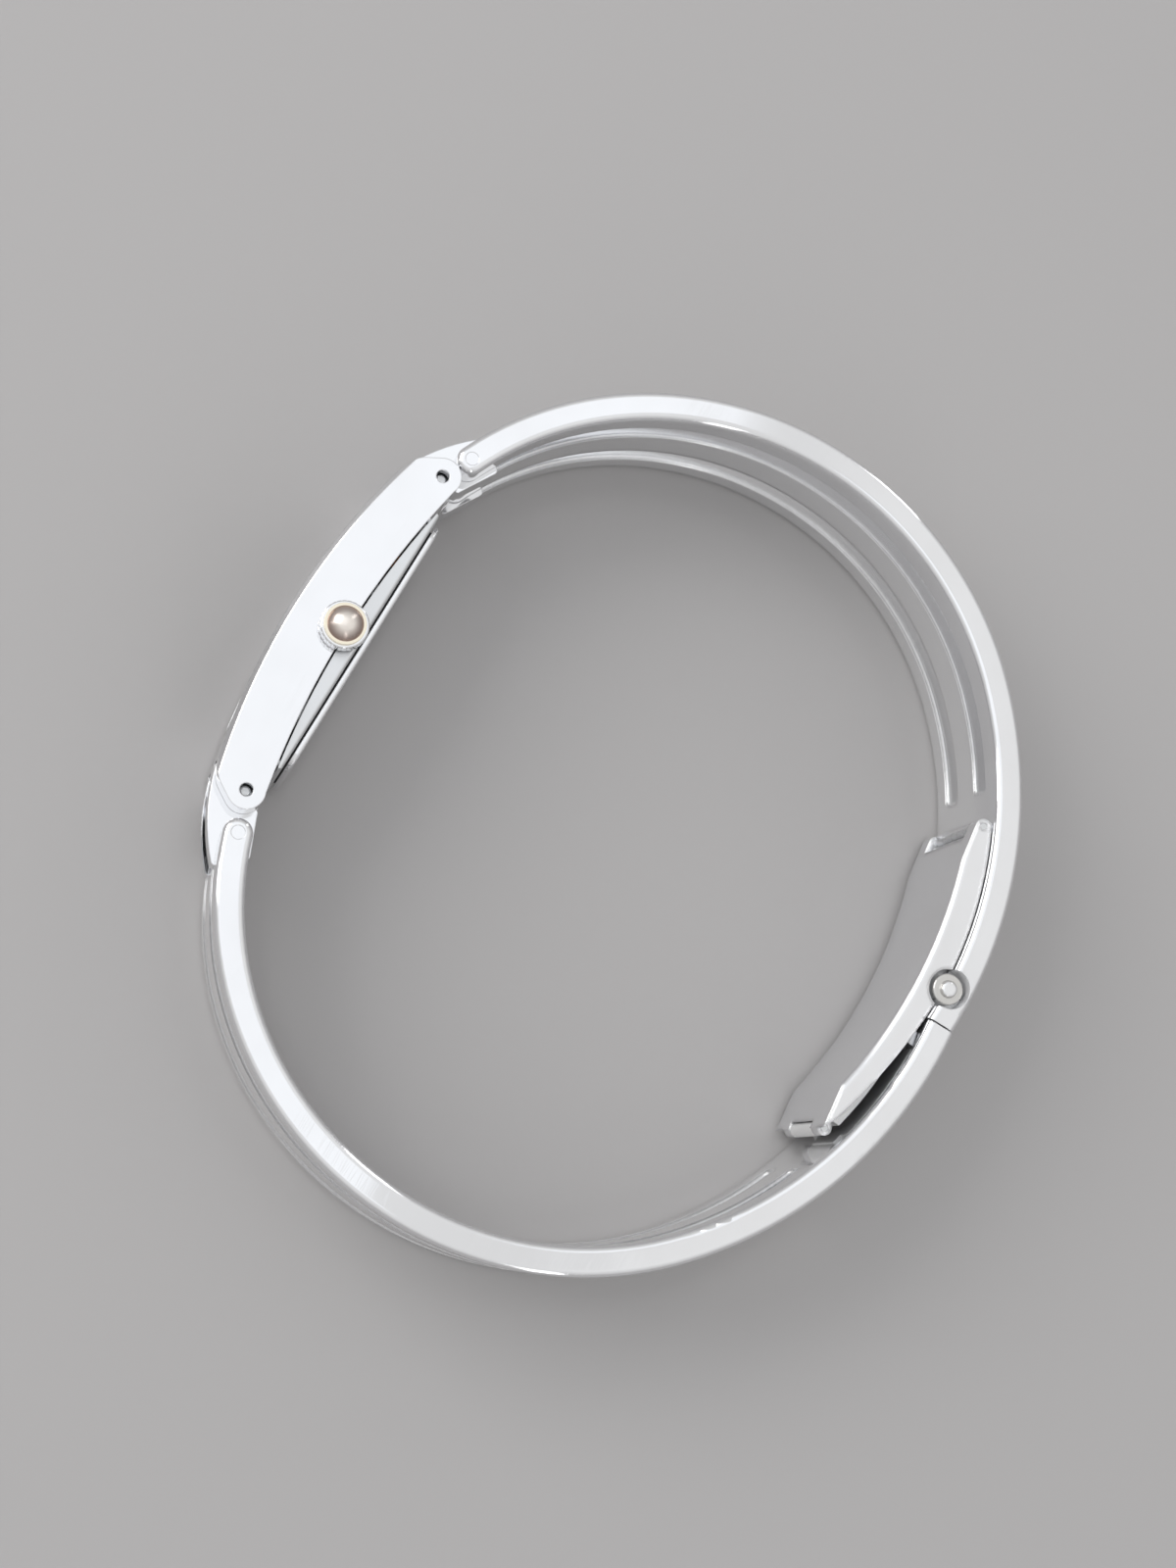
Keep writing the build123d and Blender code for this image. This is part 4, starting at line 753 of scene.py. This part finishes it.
class BangleWatchSettings(bpy.types.PropertyGroup):
    """All the settings of the watch and its studio."""

    steel: bpy.props.PointerProperty(type=BangleWatchSteel)
    dial: bpy.props.PointerProperty(type=BangleWatchDial)
    stage: bpy.props.PointerProperty(type=BangleWatchStage)


BAR_NODES = ("band_half_12", "band_half_6")
POLISHED_NODES = (
    "case_frame",
    "link_arms_12",
    "link_arms_6",
    "case_back",
)
SATIN_NODES = (
    "case_tub",
    "spring_bar_12",
    "spring_bar_6",
    "blade_pin",
    "leaf_pin",
    "end_pin",
    "crown_tube",
    "stem",
    "setting_lever",
    "button_spring",
    "tub_screws",
)
BUTTON_NODES = ("push_button_near", "push_button_far")
PIN_NODES = ("link_pin_12", "link_pin_6")
LEAF_NODES = ("clasp_leaf", "catch_block")


class BANGLEWATCH_OT_steel(bpy.types.Operator):
    """Polish the case, bars and clasp, and brush their inner pieces"""

    bl_idname = "bangle_watch.steel"
    bl_label = "Steel finishes"

    def execute(self, context):
        steel = context.scene.bangle_watch.steel
        low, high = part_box("push_button_near")
        axis = ((low.x + high.x) * HALF, (low.y + high.y) * HALF, 0.0)
        clean, handled, marked = tuple(steel.colour), tuple(steel.worn_or_painted_shade), 0.06
        mirror = polished("polished_steel", clean, handled, steel.gloss, marked)
        bar = polished_bar("polished_bar", clean, handled, steel.gloss, marked, BAR_BEHIND_PAINTED_BRIGHT)
        blade = polished("blade_steel", clean, handled, steel.gloss, marked, BLADE_EDGE)
        button = ringed_button("button_steel", clean, handled, steel.gloss, marked, axis)
        pins = polished("pin_steel", clean, handled, steel.gloss, marked, FINE_EDGE)
        satin = brushed("satin_steel", tuple(steel.satin), SATIN_RUBBED, least=0.22, most=0.42)
        # The leaf's steel is painted lighter than the satin steel, to lift it out of its shade.
        leaf = brushed("leaf_steel", LEAF_STEEL_PAINTED_LIGHT, LEAF_RUBBED_PAINTED_LIGHT, least=0.35, most=0.6, metallic=HAZED_LEAF)
        hazed_recess(bar, axis)
        hazed_recess(blade, axis)
        finish_nodes(POLISHED_NODES, mirror)
        finish_nodes(BAR_NODES, bar)
        finish_nodes(("clasp_blade",), blade)
        finish_nodes(BUTTON_NODES, button)
        finish_nodes(PIN_NODES, pins)
        finish_nodes(SATIN_NODES, satin)
        finish_nodes(LEAF_NODES, leaf)
        return {"FINISHED"}


class BANGLEWATCH_OT_crown(bpy.types.Operator):
    """Polish the fluted crown and its gold cap"""

    bl_idname = "bangle_watch.crown"
    bl_label = "Crown"

    def execute(self, context):
        steel = context.scene.bangle_watch.steel
        clean = tuple(steel.colour)
        crown = polished(
            "crown_steel", clean, CROWN_HANDLED, least=0.07, marked=0.08, edge_radius=CROWN_EDGE
        )
        gold = crown_gold("rose_gold", case_place(CROWN_AXIS_X, 0, 0))
        finish_nodes(("crown",), crown)
        finish_nodes(("crown_cap",), gold)
        return {"FINISHED"}


class BANGLEWATCH_OT_dial(bpy.types.Operator):
    """Lay the dial's sunburst, its batons and minute dots, the hands and the crystal"""

    bl_idname = "bangle_watch.dial"
    bl_label = "Dial, hands and crystal"

    def execute(self, context):
        sizes = context.scene.bangle_watch.dial
        dot_margin, ink_thickness = 0.62 * MM, 0.01 * MM
        middle = case_place(0, 0, BAND_WIDTH * HALF)
        face = Vector((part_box("dial")[0].x, middle.y, middle.z))
        finish_nodes(("dial",), dial_material(tuple(sizes.colour), DIAL_SHADE, face))
        finish_nodes(("crystal",), glass_material(CLEAR_GLASS))
        blued = polished("blued_steel", BLUED, BLUED_WORN, least=0.12, marked=0.1, edge_radius=FINE_EDGE)
        finish_nodes(("hour_hand", "minute_hand"), blued)
        inputs = [
            ("Count", "NodeSocketInt"),
            ("Half Width", "NodeSocketFloat"),
            ("Half Height", "NodeSocketFloat"),
            ("Length", "NodeSocketFloat"),
            ("Width", "NodeSocketFloat"),
            ("Height", "NodeSocketFloat"),
        ]
        tree, given, result = geometry_group("baton_ring", inputs)
        size = add_node(
            tree,
            "ShaderNodeCombineXYZ",
            {0: given.outputs["Height"], 1: given.outputs["Length"], 2: given.outputs["Width"]},
        )
        block = add_node(tree, "GeometryNodeMeshCube", {"Size": size.outputs[0]})
        tree.links.new(ring_of_markers(tree, given, block.outputs[0], blued), result.inputs[0])
        stand = sizes.baton_height * HALF
        batons = plain_mesh(
            "hour_batons",
            tree,
            {
                "Count": sizes.hours,
                "Half Width": sizes.half_width,
                "Half Height": sizes.half_height,
                "Length": sizes.baton_length,
                "Width": sizes.baton_width,
                "Height": sizes.baton_height,
            },
            face - Vector((stand, 0, 0)),
        )
        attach(batons, "case")
        print_ink = moulded("printed_ink", INK, INK_WORN, least=0.45, grain_scale=5000.0, strength=0.2)
        inputs = inputs[:3] + [("Radius", "NodeSocketFloat"), ("Height", "NodeSocketFloat")]
        tree, given, result = geometry_group("dot_ring", inputs)
        disc = add_node(
            tree,
            "GeometryNodeMeshCylinder",
            {"Vertices": 12, "Radius": given.outputs["Radius"], "Depth": given.outputs["Height"]},
        )
        tipped = add_node(
            tree,
            "GeometryNodeTransform",
            {"Geometry": disc.outputs[0], "Rotation": (0.0, math.pi * HALF, 0.0)},
        )
        tree.links.new(ring_of_markers(tree, given, tipped.outputs[0], print_ink), result.inputs[0])
        dots = plain_mesh(
            "minute_dots",
            tree,
            {
                "Count": sizes.minutes,
                "Half Width": sizes.half_width + dot_margin,
                "Half Height": sizes.half_height + dot_margin,
                "Radius": sizes.dot_radius,
                "Height": ink_thickness,
            },
            face - Vector((ink_thickness * HALF, 0, 0)),
        )
        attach(dots, "case")
        return {"FINISHED"}


class BANGLEWATCH_OT_movement(bpy.types.Operator):
    """Finish the movement and the seals inside the case"""

    bl_idname = "bangle_watch.movement"
    bl_label = "Movement and seals"

    def execute(self, context):
        fine = {"fineness": 6000.0, "strength": 0.2}
        brass = brushed("plate_brass", BRASS, BRASS_WORN, least=0.2, most=0.38, **fine)
        cell = brushed("cell_steel", CELL_STEEL, CELL_STEEL_WORN, least=0.18, most=0.36, **fine)
        housing = moulded(
            "housing_plastic", HOUSING, HOUSING_WORN, least=0.45, grain_scale=4000.0, strength=0.3
        )
        board = moulded(
            "board_resin", BOARD, BOARD_WORN, least=0.35, grain_scale=3000.0, strength=0.2, coat=0.4
        )
        rubber = moulded(
            "seal_rubber", RUBBER, RUBBER_WORN, least=0.5, grain_scale=5200.0, strength=0.35
        )
        finish_nodes(("movement_plate", "cannon_pinion", "minute_wheel", "hour_wheel"), brass)
        finish_nodes(("battery", "battery_strap", "quartz_can"), cell)
        finish_nodes(("train_housing",), housing)
        finish_nodes(("circuit_board",), board)
        finish_nodes(("coil",), wound_material(COPPER, COPPER_PAINTED_SHADE))
        finish_nodes(("crystal_gasket", "back_gasket", "crown_gasket"), rubber)
        return {"FINISHED"}


# The camera's place in millimetres from the line of the lug pins, and how it is turned.
CAMERA_X = 0.794
CAMERA_Y = -42.064
CAMERA_Z = 173.632
CAMERA_RIGHT = Vector((0.84262, 0.49032, 0.22264))
CAMERA_UP = Vector((-0.52733, 0.83511, 0.1566))
FOCAL_PIXELS = 2550.0
FRAME_HEIGHT_PIXELS = 1600.0
SENSOR = 36.0
CLIP_START = 5.0 * MM

# The lamps and the floor, in metres. The near rim mirrors the two panels into the camera.
FLOOR_SIZE = 3.0
FLOOR_DROP = 0.02 * MM
PANEL_SIZE = 0.62
PANEL_DISTANCE = 0.62
PANEL_SHIFT = 0.015
PANEL_SPACING = 1.02
SEAM_RIGHT = 0.386
SEAM_UP = 0.922
KEY_LEFT = 0.42
KEY_UP = 0.30
KEY_HEIGHT = 0.40
KEY_SIZE = 0.42
STRIP_BEARINGS = (math.radians(75.0), math.radians(200.0), math.radians(305.0))
STRIP_DISTANCE = 0.7
STRIP_HEIGHT = 0.27
STRIP_WIDTH = 0.09
STRIP_LENGTH = 0.5
COOL_LIGHT = (0.86, 0.92, 1.0)
NEUTRAL_LIGHT = (1.0, 0.985, 0.96)
KEY_LIGHT = (1.0, 0.99, 0.97)
WHITE_LIGHT = (1.0, 1.0, 1.0)
OVERHEAD_FROM = 0.85
UPRIGHT = Vector((0, 0, 1))


def area_lamp(name, at, towards, power, size, colour, edge):
    """A large soft square lamp that faces a point, with one edge along a given direction."""
    light = bpy.data.lights.new(name, "AREA")
    light.shape = "SQUARE"
    light.size = size
    light.energy = power
    light.color = colour
    made = bpy.data.objects.new(name, light)
    bpy.context.scene.collection.objects.link(made)
    back = (at - towards).normalized()
    side = edge.cross(back).normalized()
    turned = Matrix((side, back.cross(side), back)).transposed().to_4x4()
    made.matrix_world = Matrix.Translation(at) @ turned
    return made


class BANGLEWATCH_OT_stage(bpy.types.Operator):
    """Lay the pale floor, set the lamps and stand the camera where the photograph was taken"""

    bl_idname = "bangle_watch.stage"
    bl_label = "Floor, lamps and camera"

    def execute(self, context):
        scene = context.scene
        stage = scene.bangle_watch.stage
        scene.view_settings.view_transform = "Standard"
        camera = bpy.data.objects.new("camera", bpy.data.cameras.new("camera"))
        scene.collection.objects.link(camera)
        right = CAMERA_RIGHT.normalized()
        up = CAMERA_UP.normalized()
        back = right.cross(up)
        at = case_place(CAMERA_X, CAMERA_Y, CAMERA_Z)
        turned = Matrix((right, up, back)).transposed().to_4x4()
        camera.matrix_world = Matrix.Translation(at) @ turned
        camera.data.sensor_fit = "VERTICAL"
        camera.data.sensor_height = SENSOR
        camera.data.lens = SENSOR * FOCAL_PIXELS / FRAME_HEIGHT_PIXELS
        camera.data.clip_start = CLIP_START
        scene.camera = camera

        bpy.ops.mesh.primitive_plane_add(size=FLOOR_SIZE, location=(0, 0, -FLOOR_DROP))
        floor = context.object
        floor.name = "floor"
        made, tree, shader, place = start_material(
            "floor_paper", tuple(stage.floor), metallic=0.0, roughness=0.9
        )
        tooth = add_node(tree, "ShaderNodeTexNoise", {"Vector": place, "Scale": 1500.0, "Detail": 3.0})
        bump = add_node(
            tree,
            "ShaderNodeBump",
            {"Height": tooth.outputs["Fac"], "Strength": 0.05, "Distance": 0.1 * MM},
        )
        tree.links.new(bump.outputs[0], shader.inputs["Normal"])
        shader.inputs["Specular IOR Level"].default_value = 0.2
        floor.data.materials.append(made)

        world = bpy.data.worlds.new("studio")
        scene.world = world
        world.use_nodes = True
        tree = world.node_tree
        lit = tree.nodes["Background"]
        lit.inputs["Color"].default_value = (1.0, 1.0, 1.0, 1.0)
        lit.inputs["Strength"].default_value = stage.surround
        direction = tree.nodes.new("ShaderNodeTexCoord").outputs["Generated"]
        towards = add_node(tree, "ShaderNodeSeparateXYZ", {0: direction})
        height = spread(tree, towards.outputs[2], 0.0, OVERHEAD_FROM, 0.0, 1.0)
        sweep = mixed(tree, height, tuple(stage.backdrop), tuple(stage.overhead))
        seen = add_node(tree, "ShaderNodeBackground", {"Color": sweep, "Strength": 1.0})
        path = tree.nodes.new("ShaderNodeLightPath")
        shown = maths(tree, "MAXIMUM", path.outputs["Is Camera Ray"], path.outputs["Is Glossy Ray"])
        shown = maths(tree, "MAXIMUM", shown, path.outputs["Is Transmission Ray"])
        mix = tree.nodes.new("ShaderNodeMixShader")
        tree.links.new(shown, mix.inputs[0])
        tree.links.new(lit.outputs[0], mix.inputs[1])
        tree.links.new(seen.outputs[0], mix.inputs[2])
        tree.links.new(mix.outputs[0], tree.nodes["World Output"].inputs[0])

        centre = Vector((0, 0, BAND_WIDTH * HALF * MM))
        looking = (centre - at).normalized()
        mirrored = Vector((looking.x, looking.y, -looking.z))
        flat_right = Vector((right.x, right.y, 0)).normalized()
        flat_up = Vector((up.x, up.y, 0)).normalized()
        seam = (flat_right * SEAM_RIGHT + flat_up * SEAM_UP).normalized()
        across = seam.cross(UPRIGHT).normalized()
        middle = centre + mirrored * PANEL_DISTANCE + across * PANEL_SHIFT
        beside_seam = across * PANEL_SIZE * HALF * PANEL_SPACING
        for name, place, power, light in (
            ("cool_panel", middle - beside_seam, stage.cool_power, COOL_LIGHT),
            ("neutral_panel", middle + beside_seam, stage.neutral_power, NEUTRAL_LIGHT),
        ):
            area_lamp(name, place, centre, power, PANEL_SIZE, light, seam)
        beside = centre - flat_right * KEY_LEFT + flat_up * KEY_UP + UPRIGHT * KEY_HEIGHT
        area_lamp("key_lamp", beside, centre, stage.key_power, KEY_SIZE, KEY_LIGHT, seam)
        for number, bearing in enumerate(STRIP_BEARINGS):
            out = Vector((math.cos(bearing), math.sin(bearing), 0.0)) * STRIP_DISTANCE
            place = centre + out + UPRIGHT * STRIP_HEIGHT
            strip = area_lamp(
                f"strip_{number}", place, centre, stage.strip_power, STRIP_LENGTH, WHITE_LIGHT, UPRIGHT
            )
            strip.data.shape = "RECTANGLE"
            strip.data.size = STRIP_WIDTH
            strip.data.size_y = STRIP_LENGTH
        return {"FINISHED"}


class BANGLEWATCH_PT_panel(bpy.types.Panel):
    """The watch's settings and its pieces"""

    bl_label = "Bangle Watch"
    bl_idname = "BANGLEWATCH_PT_panel"
    bl_space_type = "VIEW_3D"
    bl_region_type = "UI"
    bl_category = "Bangle Watch"

    def draw(self, context):
        settings = context.scene.bangle_watch
        groups = (("Steel", settings.steel), ("Dial", settings.dial), ("Stage", settings.stage))
        for label, group in groups:
            box = self.layout.box()
            box.label(text=label)
            for name in group.__annotations__:
                box.prop(group, name)
        for operator in OPERATORS:
            self.layout.operator(operator.bl_idname)


OPERATORS = (
    BANGLEWATCH_OT_steel,
    BANGLEWATCH_OT_crown,
    BANGLEWATCH_OT_dial,
    BANGLEWATCH_OT_movement,
    BANGLEWATCH_OT_stage,
)
CLASSES = (
    BangleWatchSteel,
    BangleWatchDial,
    BangleWatchStage,
    BangleWatchSettings,
    *OPERATORS,
    BANGLEWATCH_PT_panel,
)


def register():
    """Makes the classes and the settings known to Blender."""
    for made in CLASSES:
        bpy.utils.register_class(made)
    bpy.types.Scene.bangle_watch = bpy.props.PointerProperty(type=BangleWatchSettings)


def unregister():
    """Takes the settings and the classes away again."""
    del bpy.types.Scene.bangle_watch
    for made in reversed(CLASSES):
        bpy.utils.unregister_class(made)


def main():
    """Dresses the model and sets the stage."""
    register()
    bpy.ops.bangle_watch.steel()
    bpy.ops.bangle_watch.crown()
    bpy.ops.bangle_watch.dial()
    bpy.ops.bangle_watch.movement()
    bpy.ops.bangle_watch.stage()


if __name__ == "__main__":
    main()
